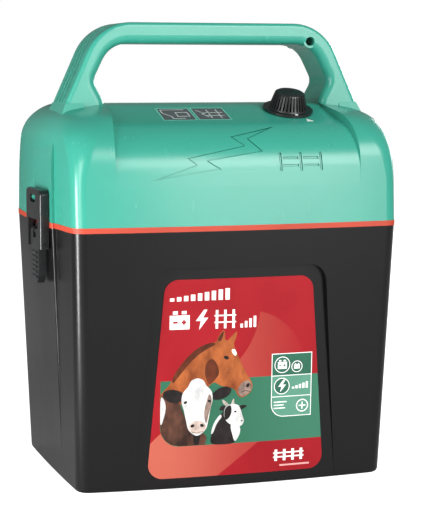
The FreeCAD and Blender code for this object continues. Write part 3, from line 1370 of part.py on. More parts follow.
def makeIndicators():
    windows = doc.addObject("Part::Compound", "indicator_windows")
    windows.Label = "indicator_windows"
    panes = []
    for index, spot in enumerate(windowPlaces(size.windowThickness)):
        pane = doc.addObject("Part::Box", "pane%d" % index)
        pane.Label = "pane%d" % index
        pane.setExpression("Length", "Sizes.windowWidth - Sizes.pinFit")
        pane.setExpression("Width", "Sizes.windowLength - Sizes.pinFit")
        pane.setExpression("Height", "Sizes.windowThickness")
        shift = Vector(-size.windowWidth / 2, -size.windowLength / 2, 0)
        pane.Placement = spot.multiply(FreeCAD.Placement(shift, Rotation()))
        panes.append(pane)
    windows.Links = panes
    lamps = doc.addObject("Part::Compound", "indicator_leds")
    lamps.Label = "indicator_leds"
    bulbs = []
    for index, spot in enumerate(windowPlaces(size.windowThickness + size.ledLength + 0.3)):
        bulb = doc.addObject("Part::Cylinder", "lamp%d" % index)
        bulb.Label = "lamp%d" % index
        bulb.setExpression("Radius", "Sizes.ledRadius")
        bulb.setExpression("Height", "Sizes.ledLength")
        bulb.Placement = spot
        bulbs.append(bulb)
    lamps.Links = bulbs
    middle = onPanel(size.windowX + size.windowPitch / 2, size.windowY,
                     size.windowThickness * 2 + size.ledLength + 0.5)
    board = doc.addObject("Part::Box", "display_board")
    board.Label = "display_board"
    board.setExpression("Length", "Sizes.displayWidth")
    board.setExpression("Width", "Sizes.displayLength")
    board.setExpression("Height", "Sizes.windowThickness")
    shift = Vector(-size.displayWidth / 2, -size.displayLength / 2, 0)
    board.Placement = middle.multiply(FreeCAD.Placement(shift, Rotation()))


def makeScripted():
    addScripted("battery_case", batteryCase())
    addScripted("front_label", frontLabel())
    addScripted("seal_gasket", sealGasket())
    addScripted("top_housing", topHousing())
    addScripted("handle_back_cover", handleBackCover())
    for name, side in (("red", -1), ("black", 1)):
        addScripted("battery_lead_" + name, tubeAlong(leadPath(side), size.leadBend, size.leadRadius))
    for name, side in (("fence", -1), ("earth", 1)):
        addScripted(name + "_wire", tubeAlong(outputPath(side), size.leadBend, size.wireRadius))


makeFeet()
makeBattery()
makePivotPins()
for sideName, sideSign in (("left", -1), ("right", 1)):
    makeHasp(sideName, sideSign)
    makeLever(sideName, sideSign)
makeKnob()
makeSwitch()
makeTray()
makeBoard()
makeScrews()
makeTransformer()
makeCapacitor()
makePosts()
makeConnectors()
makeIndicators()
makeScripted()
doc.recompute()

wanted = [item for item in doc.Objects if item.isDerivedFrom("PartDesign::Body")
          or item.TypeId in ("Part::Feature", "Part::Compound") or item.Label == "display_board"]
for item in doc.Objects:
    if "Invalid" in item.State or "Error" in item.State:
        raise RuntimeError("%s did not recompute: %s" % (item.Label, item.State))
for item in wanted:
    if item.Shape.isNull() or not item.Shape.isValid():
        raise RuntimeError("%s has no valid shape" % item.Label)
    item.Shape.exportStep("parts/%s.step" % item.Label)
    print("%-20s %2d solids %9.1f mm3" % (item.Label, len(item.Shape.Solids), item.Shape.Volume))
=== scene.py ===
import math

import bmesh
import bpy
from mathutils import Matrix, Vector
from mathutils.bvhtree import BVHTree
from mathutils.geometry import tessellate_polygon


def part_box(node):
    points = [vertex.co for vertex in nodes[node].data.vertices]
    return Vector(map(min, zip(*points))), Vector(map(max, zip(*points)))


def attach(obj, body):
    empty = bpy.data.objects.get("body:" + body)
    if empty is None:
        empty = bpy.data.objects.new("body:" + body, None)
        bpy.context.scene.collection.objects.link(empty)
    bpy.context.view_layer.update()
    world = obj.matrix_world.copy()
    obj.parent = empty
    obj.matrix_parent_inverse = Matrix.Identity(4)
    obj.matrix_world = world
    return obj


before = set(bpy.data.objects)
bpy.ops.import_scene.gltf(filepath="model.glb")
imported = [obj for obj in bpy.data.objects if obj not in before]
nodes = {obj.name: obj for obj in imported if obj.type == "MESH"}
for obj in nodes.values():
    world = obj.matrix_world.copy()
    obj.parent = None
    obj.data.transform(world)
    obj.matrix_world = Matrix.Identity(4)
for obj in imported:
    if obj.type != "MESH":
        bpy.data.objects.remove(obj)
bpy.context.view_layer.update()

mm = 0.001
print("frame loaded:", len(nodes), "nodes")


shot = {
    "place": (-0.36907, -1.21119, 0.28552),
    "aim": (0.0162, 0.00335, 0.1516),
    "lens": 121.15,
    "sensor": 36.0,
    "farthest": 50.0,
}


def makeCamera():
    data = bpy.data.cameras.new("camera")
    data.sensor_width = shot["sensor"]
    data.lens = shot["lens"]
    data.clip_end = shot["farthest"]
    camera = bpy.data.objects.new("camera", data)
    camera.location = shot["place"]
    look = Vector(shot["aim"]) - Vector(shot["place"])
    camera.rotation_mode = "QUATERNION"
    camera.rotation_quaternion = look.to_track_quat("-Z", "Y")
    bpy.context.scene.collection.objects.link(camera)
    bpy.context.scene.camera = camera


makeCamera()
print("camera placed")


# short ways to add and join shader nodes
class Wiring:
    def __init__(self, tree):
        self.tree = tree

    def node(self, kind, **values):
        made = self.tree.nodes.new(kind)
        for name, value in values.items():
            setattr(made, name, value)
        return made

    def feed(self, socket, value):
        if isinstance(value, bpy.types.NodeSocket):
            self.tree.links.new(value, socket)
        else:
            socket.default_value = value

    def math(self, operation, *values, clamp=False):
        made = self.node("ShaderNodeMath", operation=operation, use_clamp=clamp)
        for socket, value in zip(made.inputs, values):
            self.feed(socket, value)
        return made.outputs[0]

    def mix(self, share, first, second, blend="MIX"):
        made = self.node("ShaderNodeMix", data_type="RGBA", blend_type=blend)
        self.feed(made.inputs[0], share)
        self.feed(made.inputs[6], first)
        self.feed(made.inputs[7], second)
        return made.outputs[2]

    def spread(self, value, low, high, toLow=0.0, toHigh=1.0, smooth=False):
        made = self.node("ShaderNodeMapRange")
        if smooth:
            made.interpolation_type = "SMOOTHSTEP"
        for socket, number in zip(made.inputs, (value, low, high, toLow, toHigh)):
            self.feed(socket, number)
        return made.outputs[0]

    def place(self):
        return self.node("ShaderNodeTexCoord").outputs["Object"]

    def noise(self, where, scale, detail=2.0, rough=0.5):
        made = self.node("ShaderNodeTexNoise")
        self.feed(made.inputs["Vector"], where)
        self.feed(made.inputs["Scale"], scale)
        self.feed(made.inputs["Detail"], detail)
        self.feed(made.inputs["Roughness"], rough)
        return made.outputs[0]

    def stretched(self, where, scale):
        made = self.node("ShaderNodeMapping")
        self.feed(made.inputs["Vector"], where)
        made.inputs["Scale"].default_value = scale
        return made.outputs[0]


def newGroup(name, inputs, outputs):
    group = bpy.data.node_groups.new(name, "ShaderNodeTree")
    for label, kind, value in inputs:
        socket = group.interface.new_socket(name=label, in_out="INPUT", socket_type=kind)
        socket.default_value = value
    for label, kind in outputs:
        group.interface.new_socket(name=label, in_out="OUTPUT", socket_type=kind)
    wiring = Wiring(group)
    return group, wiring, wiring.node("NodeGroupInput").outputs, wiring.node("NodeGroupOutput").inputs


number, colour = "NodeSocketFloat", "NodeSocketColor"
grey = (0.5, 0.5, 0.5, 1.0)


# moulded plastic: fine texture, slow tone drift and lighter rubbed edges
def makePlasticSkin():
    group, w, given, out = newGroup(
        "plasticSkin",
        [("Color", colour, grey), ("Grain", number, 2200.0), ("Drift", number, 0.06),
         ("Gloss", number, 0.4), ("Gloss Drift", number, 0.08), ("Edge", number, 0.15)],
        [("Color", colour), ("Roughness", number), ("Height", number)])
    where = w.place()
    slow = w.noise(where, 26.0, 3.0)
    fine = w.noise(where, given["Grain"], 2.0, 0.6)
    flow = w.noise(w.stretched(where, (1.0, 1.0, 0.25)), 90.0, 2.0)
    edges = edgeMask(w)
    tone = w.spread(slow, 0.3, 0.7, -1.0, 1.0)
    tone = w.math("MULTIPLY", tone, given["Drift"])
    tone = w.math("ADD", tone, w.math("MULTIPLY", edges, given["Edge"]))
    bright = w.node("ShaderNodeHueSaturation")
    w.feed(bright.inputs["Value"], w.math("ADD", tone, 1.0))
    w.feed(bright.inputs["Color"], given["Color"])
    w.feed(out["Color"], bright.outputs[0])
    dull = w.math("MULTIPLY", w.spread(flow, 0.3, 0.7, -1.0, 1.0), given["Gloss Drift"])
    w.feed(out["Roughness"], w.math("ADD", dull, given["Gloss"], clamp=True))
    w.feed(out["Height"], fine)
    return group


# 1 where a small bevel would round the surface, 0 on the flats
def edgeMask(w, radius=0.0011):
    bevel = w.node("ShaderNodeBevel", samples=4)
    bevel.inputs["Radius"].default_value = radius
    flat = w.node("ShaderNodeNewGeometry")
    turn = w.node("ShaderNodeVectorMath", operation="DOT_PRODUCT")
    w.feed(turn.inputs[0], bevel.outputs[0])
    w.feed(turn.inputs[1], flat.outputs["Normal"])
    return w.spread(turn.outputs["Value"], 0.995, 0.86)


# metal: drawn lines along one axis, small pits
def makeMetalSkin():
    group, w, given, out = newGroup(
        "metalSkin",
        [("Color", colour, grey), ("Stretch", "NodeSocketVector", (1.0, 1.0, 1.0)),
         ("Lines", number, 1500.0), ("Gloss", number, 0.3), ("Tarnish", number, 0.2)],
        [("Color", colour), ("Roughness", number), ("Height", number)])
    where = w.place()
    along = w.node("ShaderNodeVectorMath", operation="MULTIPLY")
    w.feed(along.inputs[0], where)
    w.feed(along.inputs[1], given["Stretch"])
    lines = w.noise(along.outputs[0], given["Lines"], 3.0, 0.6)
    stain = w.spread(w.noise(where, 140.0, 4.0), 0.45, 0.75)
    dark = w.node("ShaderNodeHueSaturation")
    w.feed(dark.inputs["Value"], w.math("SUBTRACT", 1.0, w.math("MULTIPLY", stain, given["Tarnish"])))
    w.feed(dark.inputs["Color"], given["Color"])
    w.feed(out["Color"], dark.outputs[0])
    uneven = w.math("MULTIPLY", w.math("SUBTRACT", lines, 0.5), 0.25)
    uneven = w.math("ADD", uneven, w.math("MULTIPLY", stain, 0.15))
    w.feed(out["Roughness"], w.math("ADD", uneven, given["Gloss"], clamp=True))
    w.feed(out["Height"], lines)
    return group


# side-by-side turns or laminations
def makeLayers():
    group, w, given, out = newGroup(
        "layers",
        [("Color", colour, grey), ("Dark", colour, grey), ("Turns", number, 400.0),
         ("Across", "NodeSocketVector", (1.0, 0.0, 0.0)), ("Gloss", number, 0.35)],
        [("Color", colour), ("Roughness", number), ("Height", number)])
    where = w.place()
    along = w.node("ShaderNodeVectorMath", operation="DOT_PRODUCT")
    w.feed(along.inputs[0], where)
    w.feed(along.inputs[1], given["Across"])
    turns = w.math("MULTIPLY", along.outputs["Value"], given["Turns"])
    wobble = w.math("MULTIPLY", w.noise(where, 220.0, 2.0), 0.35)
    wave = w.math("SINE", w.math("MULTIPLY", w.math("ADD", turns, wobble), 2 * math.pi))
    ridge = w.spread(wave, -1.0, 1.0)
    tint = w.spread(w.noise(where, 60.0, 2.0), 0.3, 0.7, 0.65, 1.0)
    w.feed(out["Color"], w.mix(w.math("MULTIPLY", ridge, tint), given["Dark"], given["Color"]))
    w.feed(out["Roughness"], w.math("SUBTRACT", given["Gloss"], w.math("MULTIPLY", ridge, 0.1)))
    w.feed(out["Height"], ridge)
    return group


# printed film: two inks that drift into each other, and a faint orange peel
def makePrintInk():
    group, w, given, out = newGroup(
        "printInk",
        [("Light", colour, grey), ("Dark", colour, grey), ("Patch", number, 160.0),
         ("Contrast", number, 0.5)],
        [("Color", colour), ("Roughness", number), ("Height", number)])
    where = w.place()
    patch = w.noise(w.stretched(where, (1.0, 1.0, 0.6)), given["Patch"], 4.0, 0.6)
    dots = w.noise(where, 3200.0, 1.0)
    share = w.math("MULTIPLY", w.spread(patch, 0.36, 0.64), given["Contrast"])
    share = w.math("ADD", share, w.math("MULTIPLY", w.math("SUBTRACT", dots, 0.5), 0.12), clamp=True)
    w.feed(out["Color"], w.mix(share, given["Light"], given["Dark"]))
    w.feed(out["Roughness"], w.spread(patch, 0.2, 0.8, 0.26, 0.34))
    w.feed(out["Height"], w.noise(where, 700.0, 1.0))
    return group


groups = {
    "plastic": makePlasticSkin(),
    "metal": makeMetalSkin(),
    "layers": makeLayers(),
    "ink": makePrintInk(),
}
print("shader groups built:", len(groups))


labelArt = {
    "red": (0.330, 0.0110, 0.0170, 1.0),
    "redShade": (0.285, 0.0080, 0.0135, 1.0),
    "green": (0.0300, 0.1350, 0.0780, 1.0),
    "greenLight": (0.0460, 0.1750, 0.1090, 1.0),
    "salmon": (0.460, 0.1050, 0.0700, 1.0),
    "salmonDeep": (0.370, 0.0420, 0.0340, 1.0),
    "fieldLeft": -55.9,
    "fieldFoot": 30.4,
    "fieldTop": 76.8,
    "fieldCorner": 14.0,
    "leafEdge": (15.3, 30.5, 1.316),
    "leafRing": (-22.0, -2.0, 53.7),
    "glowOuter": (5.0, 80.0, 44.0),
    "glowInner": (-42.0, 128.0, 57.0),
    "glowFade": (0.0, 46.0, 0.45, 0.04),
    "leafFade": (-50.0, 12.0),
    "fieldFade": (-20.0, 60.0),
    "blur": 0.15,
    "topBlur": 0.12,
}


def makeLabelArt():
    a = labelArt
    blur = a["blur"]
    group, w, _, out = newGroup("labelArt", [], [("Color", colour)])
    where = w.node("ShaderNodeSeparateXYZ")
    w.feed(where.inputs[0], w.place())
    across = w.math("MULTIPLY", where.outputs["X"], 1 / mm)
    up = w.math("MULTIPLY", where.outputs["Z"], 1 / mm)

    # 1 inside a ring given by its middle and radius
    def inside(ring):
        flat = w.node("ShaderNodeCombineXYZ")
        w.feed(flat.inputs[0], w.math("SUBTRACT", across, ring[0]))
        w.feed(flat.inputs[1], w.math("SUBTRACT", up, ring[1]))
        size = w.node("ShaderNodeVectorMath", operation="LENGTH")
        w.feed(size.inputs[0], flat.outputs[0])
        return w.spread(size.outputs["Value"], ring[2] + blur, ring[2] - blur)

    drift = w.noise(w.place(), 30.0, 2.0)
    paper = w.mix(w.spread(drift, 0.3, 0.7), a["red"], a["redShade"])
    # the pale glow above the band fades towards the right
    glow = w.math("MULTIPLY", inside(a["glowOuter"]), w.math("SUBTRACT", 1.0, inside(a["glowInner"])))
    glow = w.math("MULTIPLY", glow, w.spread(across, *a["glowFade"]))
    paper = w.mix(glow, paper, a["salmon"])
    # the leaf in the lower left corner
    x0, z0, lean = a["leafEdge"]
    edge = w.math("ADD", x0, w.math("MULTIPLY", w.math("SUBTRACT", up, z0), lean))
    leaf = w.spread(w.math("SUBTRACT", edge, across), -blur, blur)
    leaf = w.math("MULTIPLY", leaf, inside(a["leafRing"]))
    tone = w.mix(w.spread(across, *a["leafFade"], smooth=True), a["salmon"], a["salmonDeep"])
    paper = w.mix(leaf, paper, tone)
    # the green band, with one rounded corner
    corner = a["fieldCorner"]
    beside = w.math("MAXIMUM", w.math("SUBTRACT", a["fieldLeft"] + corner, across), 0.0)
    below = w.math("MAXIMUM", w.math("SUBTRACT", a["fieldFoot"] + corner, up), 0.0)
    square = w.math("ADD", w.math("MULTIPLY", beside, beside), w.math("MULTIPLY", below, below))
    reach = w.math("SQRT", square)
    band = w.math("MULTIPLY", w.spread(reach, corner + blur, corner - blur),
                  w.spread(up, a["fieldTop"] + a["topBlur"], a["fieldTop"] - a["topBlur"]))
    leafy = w.mix(w.spread(across, *a["fieldFade"], smooth=True), a["green"], a["greenLight"])
    w.feed(out["Color"], w.mix(band, paper, leafy))
    return group


groups["label"] = makeLabelArt()


def shade(name):
    material = bpy.data.materials.new(name)
    material.use_nodes = True
    w = Wiring(material.node_tree)
    shader = next(n for n in material.node_tree.nodes if n.type == "BSDF_PRINCIPLED")
    return material, w, shader


plainBump = 0.12  # for finishes that give none


def addBump(w, shader, height, strength, depth=0.0001):
    bump = w.node("ShaderNodeBump")
    bump.inputs["Strength"].default_value = strength
    bump.inputs["Distance"].default_value = depth
    w.feed(bump.inputs["Height"], height)
    w.feed(shader.inputs["Normal"], bump.outputs[0])


def skinned(name, kind, look, settings):
    material, w, shader = shade(name)
    skin = w.node("ShaderNodeGroup", node_tree=groups[kind])
    for label, value in look.items():
        skin.inputs[label].default_value = value
    w.feed(shader.inputs["Base Color"], skin.outputs["Color"])
    w.feed(shader.inputs["Roughness"], skin.outputs["Roughness"])
    addBump(w, shader, skin.outputs["Height"], settings.get("bump", plainBump))
    for label, value in settings.items():
        if label != "bump":
            shader.inputs[label].default_value = value
    return material


# from 0 to 255 screen values to linear colour
def rgb(red, green, blue):
    parts = [c / 255.0 for c in (red, green, blue)]
    parts = [c / 12.92 if c <= 0.04045 else ((c + 0.055) / 1.055) ** 2.4 for c in parts]
    return (*parts, 1.0)


plastics = {
    "housing_teal": ({"Color": rgb(53, 147, 128), "Grain": 1500.0, "Drift": 0.025, "Gloss": 0.27,
                      "Gloss Drift": 0.004, "Edge": 0.06}, {"bump": 0.008}),
    "case_black": ({"Color": rgb(13, 13, 14), "Grain": 2400.0, "Drift": 0.05, "Gloss": 0.26,
                    "Gloss Drift": 0.01, "Edge": 0.3}, {"bump": 0.05, "Specular IOR Level": 0.32}),
    "latch_black": ({"Color": rgb(26, 27, 28), "Grain": 1900.0, "Drift": 0.05, "Gloss": 0.30,
                     "Gloss Drift": 0.05, "Edge": 0.45}, {"bump": 0.05}),
    "knob_black": ({"Color": rgb(26, 26, 27), "Grain": 1700.0, "Drift": 0.06, "Gloss": 0.36,
                    "Gloss Drift": 0.06, "Edge": 0.5}, {"bump": 0.08}),
    "seal_rubber": ({"Color": rgb(176, 58, 34), "Grain": 1500.0, "Drift": 0.06, "Gloss": 0.58,
                     "Gloss Drift": 0.06, "Edge": 0.05}, {"bump": 0.2}),
    "foot_rubber": ({"Color": rgb(30, 30, 30), "Grain": 1200.0, "Drift": 0.12, "Gloss": 0.78,
                     "Gloss Drift": 0.06, "Edge": 0.2}, {"bump": 0.4}),
    "mark_pale": ({"Color": rgb(206, 214, 210), "Grain": 1500.0, "Drift": 0.05, "Gloss": 0.5,
                   "Gloss Drift": 0.05, "Edge": 0.0}, {"bump": 0.1}),
    "window_dark": ({"Color": rgb(62, 74, 76), "Grain": 900.0, "Drift": 0.05, "Gloss": 0.16,
                     "Gloss Drift": 0.03, "Edge": 0.1}, {"bump": 0.02, "Coat Weight": 0.5}),
    "lamp_red": ({"Color": rgb(190, 30, 26), "Grain": 900.0, "Drift": 0.08, "Gloss": 0.14,
                  "Gloss Drift": 0.03, "Edge": 0.1}, {"bump": 0.02, "Coat Weight": 0.6}),
    "switch_grey": ({"Color": rgb(120, 122, 122), "Grain": 1500.0, "Drift": 0.06, "Gloss": 0.45,
                     "Gloss Drift": 0.05, "Edge": 0.2}, {"bump": 0.1}),
    "tray_grey": ({"Color": rgb(150, 152, 150), "Grain": 1300.0, "Drift": 0.05, "Gloss": 0.55,
                   "Gloss Drift": 0.06, "Edge": 0.15}, {"bump": 0.2}),
    "capacitor_blue": ({"Color": rgb(30, 66, 132), "Grain": 800.0, "Drift": 0.08, "Gloss": 0.28,
                        "Gloss Drift": 0.05, "Edge": 0.2}, {"bump": 0.05}),
    "strap_black": ({"Color": rgb(24, 24, 24), "Grain": 1600.0, "Drift": 0.1, "Gloss": 0.5,
                     "Gloss Drift": 0.06, "Edge": 0.3}, {"bump": 0.2}),
    "connector_black": ({"Color": rgb(28, 28, 30), "Grain": 1600.0, "Drift": 0.08, "Gloss": 0.45,
                         "Gloss Drift": 0.06, "Edge": 0.3}, {"bump": 0.15}),
    "lead_red": ({"Color": rgb(178, 24, 22), "Grain": 1100.0, "Drift": 0.08, "Gloss": 0.4,
                  "Gloss Drift": 0.05, "Edge": 0.0}, {"bump": 0.1}),
    "lead_black": ({"Color": rgb(22, 22, 22), "Grain": 1100.0, "Drift": 0.1, "Gloss": 0.42,
                    "Gloss Drift": 0.05, "Edge": 0.0}, {"bump": 0.1}),
    "lead_green": ({"Color": rgb(30, 120, 60), "Grain": 1100.0, "Drift": 0.08, "Gloss": 0.4,
                    "Gloss Drift": 0.05, "Edge": 0.0}, {"bump": 0.1}),
    "nut_red": ({"Color": rgb(186, 30, 30), "Grain": 1800.0, "Drift": 0.05, "Gloss": 0.36,
                 "Gloss Drift": 0.05, "Edge": 0.15}, {"bump": 0.08}),
    "nut_green": ({"Color": rgb(28, 124, 70), "Grain": 1800.0, "Drift": 0.05, "Gloss": 0.36,
                   "Gloss Drift": 0.05, "Edge": 0.15}, {"bump": 0.08}),
}
metals = {
    "plated_brass": ({"Color": (0.72, 0.52, 0.24, 1.0), "Stretch": (1.0, 1.0, 0.1), "Lines": 1600.0,
                      "Gloss": 0.26, "Tarnish": 0.3}, {"Metallic": 1.0}),
    "steel": ({"Color": (0.56, 0.57, 0.58, 1.0), "Stretch": (1.0, 0.1, 1.0), "Lines": 1800.0,
               "Gloss": 0.26, "Tarnish": 0.15}, {"Metallic": 1.0}),
}
layered = {
    "core_steel": ({"Color": rgb(112, 114, 118), "Dark": rgb(48, 50, 54), "Turns": 1600.0,
                    "Across": (0.0, 1.0, 0.0), "Gloss": 0.45}, {"Metallic": 0.8, "bump": 0.4}),
    "coil_copper": ({"Color": rgb(196, 108, 58), "Dark": rgb(96, 42, 20), "Turns": 1250.0,
                     "Across": (1.0, 0.0, 0.0), "Gloss": 0.36}, {"Metallic": 0.85, "bump": 0.6}),
}


board = {
    "cells": 190.0, "gap": (0.06, 0.10), "bump": 0.3,
    "lacquer": rgb(18, 84, 44), "runs": rgb(46, 128, 70), "stain": rgb(10, 52, 30),
}


# circuit board lacquer over fine copper runs
def boardMaterial():
    material, w, shader = shade("board_green")
    where = w.place()
    cells = w.node("ShaderNodeTexVoronoi", distance="CHEBYCHEV", feature="DISTANCE_TO_EDGE")
    w.feed(cells.inputs["Vector"], w.stretched(where, (1.0, 1.0, 0.0)))
    cells.inputs["Scale"].default_value = board["cells"]
    runs = w.spread(cells.outputs["Distance"], *board["gap"], 1.0, 0.0)
    tone = w.mix(runs, board["lacquer"], board["runs"])
    tone = w.mix(w.spread(w.noise(where, 70.0, 2.0), 0.3, 0.7, 0.0, 0.25), tone, board["stain"])
    w.feed(shader.inputs["Base Color"], tone)
    w.feed(shader.inputs["Roughness"], w.spread(runs, 0.0, 1.0, 0.28, 0.38))
    addBump(w, shader, runs, board["bump"])
    return material


wrap = {
    "footBand": 0.030, "topBand": 0.034, "edge": 0.0006, "bump": 0.15, "depth": 0.0002,
    "foot": rgb(196, 60, 34), "middle": rgb(38, 44, 52), "top": rgb(212, 206, 190),
    "fibre": rgb(120, 112, 100),
}


# battery wrap: card with broad colour bands and a paper fibre
def wrapMaterial():
    material, w, shader = shade("battery_wrap")
    where = w.place()
    up = w.node("ShaderNodeSeparateXYZ")
    w.feed(up.inputs[0], where)
    level = up.outputs["Z"]
    fibre = w.noise(w.stretched(where, (1.0, 1.0, 4.0)), 500.0, 3.0)
    low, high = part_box("battery_block")
    foot = low.z + wrap["footBand"]
    top = high.z - wrap["topBand"]
    body = w.mix(w.spread(level, foot, foot + wrap["edge"]), wrap["foot"], wrap["middle"])
    body = w.mix(w.spread(level, top, top + wrap["edge"]), body, wrap["top"])
    body = w.mix(w.math("MULTIPLY", fibre, 0.16), body, wrap["fibre"])
    w.feed(shader.inputs["Base Color"], body)
    w.feed(shader.inputs["Roughness"], w.spread(fibre, 0.2, 0.8, 0.5, 0.66))
    addBump(w, shader, fibre, wrap["bump"], wrap["depth"])
    return material


film = {"shine": 0.15, "peel": 420.0, "gloss": (0.34, 0.42), "bump": 0.05}


def labelMaterial():
    material, w, shader = shade("label_print")
    shader.inputs["Specular IOR Level"].default_value = film["shine"]
    art = w.node("ShaderNodeGroup", node_tree=groups["label"])
    peel = w.noise(w.place(), film["peel"], 1.0)
    w.feed(shader.inputs["Base Color"], art.outputs["Color"])
    w.feed(shader.inputs["Roughness"], w.spread(peel, 0.2, 0.8, *film["gloss"]))
    addBump(w, shader, peel, film["bump"])
    return material


finishes = {name: skinned(name + "_skin", "plastic", *parts) for name, parts in plastics.items()}
finishes.update({name: skinned(name + "_skin", "metal", *parts) for name, parts in metals.items()})
finishes.update({name: skinned(name + "_skin", "layers", *parts) for name, parts in layered.items()})
finishes["board_green"] = boardMaterial()
finishes["battery_wrap"] = wrapMaterial()
finishes["label_print"] = labelMaterial()

for name, node in nodes.items():
    for slot in node.material_slots:
        key = slot.material.name.split(".")[0]
        if key not in finishes:
            raise ValueError("no finish for " + key)
        slot.material = finishes[key]
print("materials:", len(finishes))


inks = {
    "panelRed": (labelArt["red"], labelArt["redShade"], 120.0, 0.4),
    "white": (rgb(244, 244, 242), rgb(226, 226, 224), 200.0, 0.3),
    "palePink": (rgb(226, 168, 164), rgb(206, 140, 138), 200.0, 0.4),
    "panelDark": (rgb(48, 100, 80), rgb(42, 90, 72), 120.0, 0.5),
    "panelLight": (rgb(92, 146, 124), rgb(78, 134, 110), 120.0, 0.5),
    "chestnut": (rgb(176, 98, 52), rgb(108, 50, 24), 95.0, 0.85),
    "chestnutDark": (rgb(104, 50, 28), rgb(58, 26, 16), 120.0, 0.8),
    "muzzleGrey": (rgb(150, 128, 116), rgb(84, 66, 60), 240.0, 0.8),
    "hideWhite": (rgb(232, 230, 226), rgb(158, 160, 162), 110.0, 0.7),
    "hideBrown": (rgb(98, 64, 50), rgb(36, 24, 22), 80.0, 0.9),
    "hideBlack": (rgb(40, 34, 34), rgb(20, 18, 18), 150.0, 0.8),
    "nosePink": (rgb(206, 188, 178), rgb(152, 130, 122), 260.0, 0.7),
    "hornGrey": (rgb(196, 190, 176), rgb(132, 126, 116), 300.0, 0.7),
    "windowLine": (rgb(198, 208, 206), rgb(160, 176, 174), 300.0, 0.5),
    "windowEdge": (rgb(120, 196, 178), rgb(96, 176, 158), 300.0, 0.5),
}
inkMaterials = {
    name: skinned("ink_" + name, "ink",
                  {"Light": light, "Dark": dark, "Patch": patch, "Contrast": contrast},
                  {"bump": 0.04, "Specular IOR Level": 0.2})
    for name, (light, dark, patch, contrast) in inks.items()
}


# smooth closed line through the points
def curved(points, steps=5):
    line = []
    count = len(points)
    for i in range(count):
        a, b, c, d = (points[(i + k - 1) % count] for k in range(4))
        for s in range(steps):
            t = s / steps
            line.append(tuple(
                0.5 * (2 * b[k] + (c[k] - a[k]) * t + (2 * a[k] - 5 * b[k] + 4 * c[k] - d[k]) * t * t
                       + (3 * b[k] - a[k] - 3 * c[k] + d[k]) * t ** 3) for k in (0, 1)))
    return line


def ellipse(x, z, across, up=None, tilt=0.0, sides=28):
    up = up or across
    turned = []
    for i in range(sides):
        angle = 2 * math.pi * i / sides
        px, pz = across * math.cos(angle), up * math.sin(angle)
        turned.append((x + px * math.cos(tilt) - pz * math.sin(tilt),
                       z + px * math.sin(tilt) + pz * math.cos(tilt)))
    return turned


def box(x0, z0, x1, z1):
    return [(x0, z0), (x1, z0), (x1, z1), (x0, z1)]


def filled(points):
    flat = [Vector((x, z, 0)) for x, z in points]
    return points, [tuple(t) for t in tessellate_polygon([flat])]


sharpest = 0.35  # keeps the joint of a sharp corner short


def stroked(points, width, closed=False):
    count = len(points)
    left, right = [], []
    for i, point in enumerate(points):
        here = Vector(point)
        before = Vector(points[(i - 1) % count]) if closed or i else here
        after = Vector(points[(i + 1) % count]) if closed or i < count - 1 else here
        first = (here - before).normalized() if here != before else (after - here).normalized()
        second = (after - here).normalized() if after != here else first
        way = (first + second).normalized()
        across = Vector((-way.y, way.x))
        reach = width / 2 / max(sharpest, abs(way.dot(first)))
        left.append(tuple(here + across * reach))
        right.append(tuple(here - across * reach))
    spans = range(count if closed else count - 1)
    quads = [(i, (i + 1) % count, count + (i + 1) % count, count + i) for i in spans]
    return left + right, quads


def surfaceOf(*names):
    places, faces = [], []
    for name in names:
        mesh = nodes[name].data
        start = len(places)
        places += [v.co.copy() for v in mesh.vertices]
        faces += [[start + i for i in p.vertices] for p in mesh.polygons]
    return BVHTree.FromPolygons(places, faces)


inkSheet = {
    "lift": 0.01 * mm,
    "layer": 0.04 * mm,
    "depth": 0.03 * mm,
    "seam": 6.0,
    "merge": 1e-7,
    "castFrom": 0.6,
}


def flatPart(points, faces, inkNumber, fromFront):
    part = bmesh.new()
    verts = []
    for x, z in points:
        verts.append(part.verts.new((x * mm, 0.0, z * mm) if fromFront else (x * mm, z * mm, 0.0)))
    for face in faces:
        made = part.faces.new([verts[i] for i in face])
        made.material_index = inkNumber
    return part


# upright cuts let the flat part bend with the surface
def cutStrips(part, low, high):
    seam = inkSheet["seam"]
    cut = math.ceil(low / seam) * seam
    while cut < high:
        everything = part.verts[:] + part.edges[:] + part.faces[:]
        bmesh.ops.bisect_plane(part, geom=everything, dist=inkSheet["merge"],
                               plane_co=(cut * mm, 0, 0), plane_no=(1, 0, 0))
        cut += seam
    bmesh.ops.remove_doubles(part, verts=part.verts[:], dist=inkSheet["merge"])


def dropOn(tree, part, ray, layer):
    for vert in part.verts:
        hit, normal, _, _ = tree.ray_cast(vert.co - ray * inkSheet["castFrom"], ray)
        if hit is None:
            hit, normal, _, _ = tree.find_nearest(vert.co)
        if normal.dot(ray) > 0:
            normal = -normal
        vert.co = hit + normal * (inkSheet["lift"] + inkSheet["layer"] * layer)


def thicken(part, ray):
    part.normal_update()
    facing = sum(f.normal.dot(ray) * f.calc_area() for f in part.faces)
    if facing > 0:
        bmesh.ops.reverse_faces(part, faces=part.faces[:])
    bottom = part.faces[:]
    lifted = bmesh.ops.extrude_face_region(part, geom=bottom)["geom"]
    for item in lifted:
        if isinstance(item, bmesh.types.BMVert):
            item.co -= ray * inkSheet["depth"]
    bmesh.ops.reverse_faces(part, faces=bottom)


def addPart(model, part):
    scratch = bpy.data.meshes.new("scratch")
    part.to_mesh(scratch)
    model.from_mesh(scratch)
    part.free()
    bpy.data.meshes.remove(scratch)


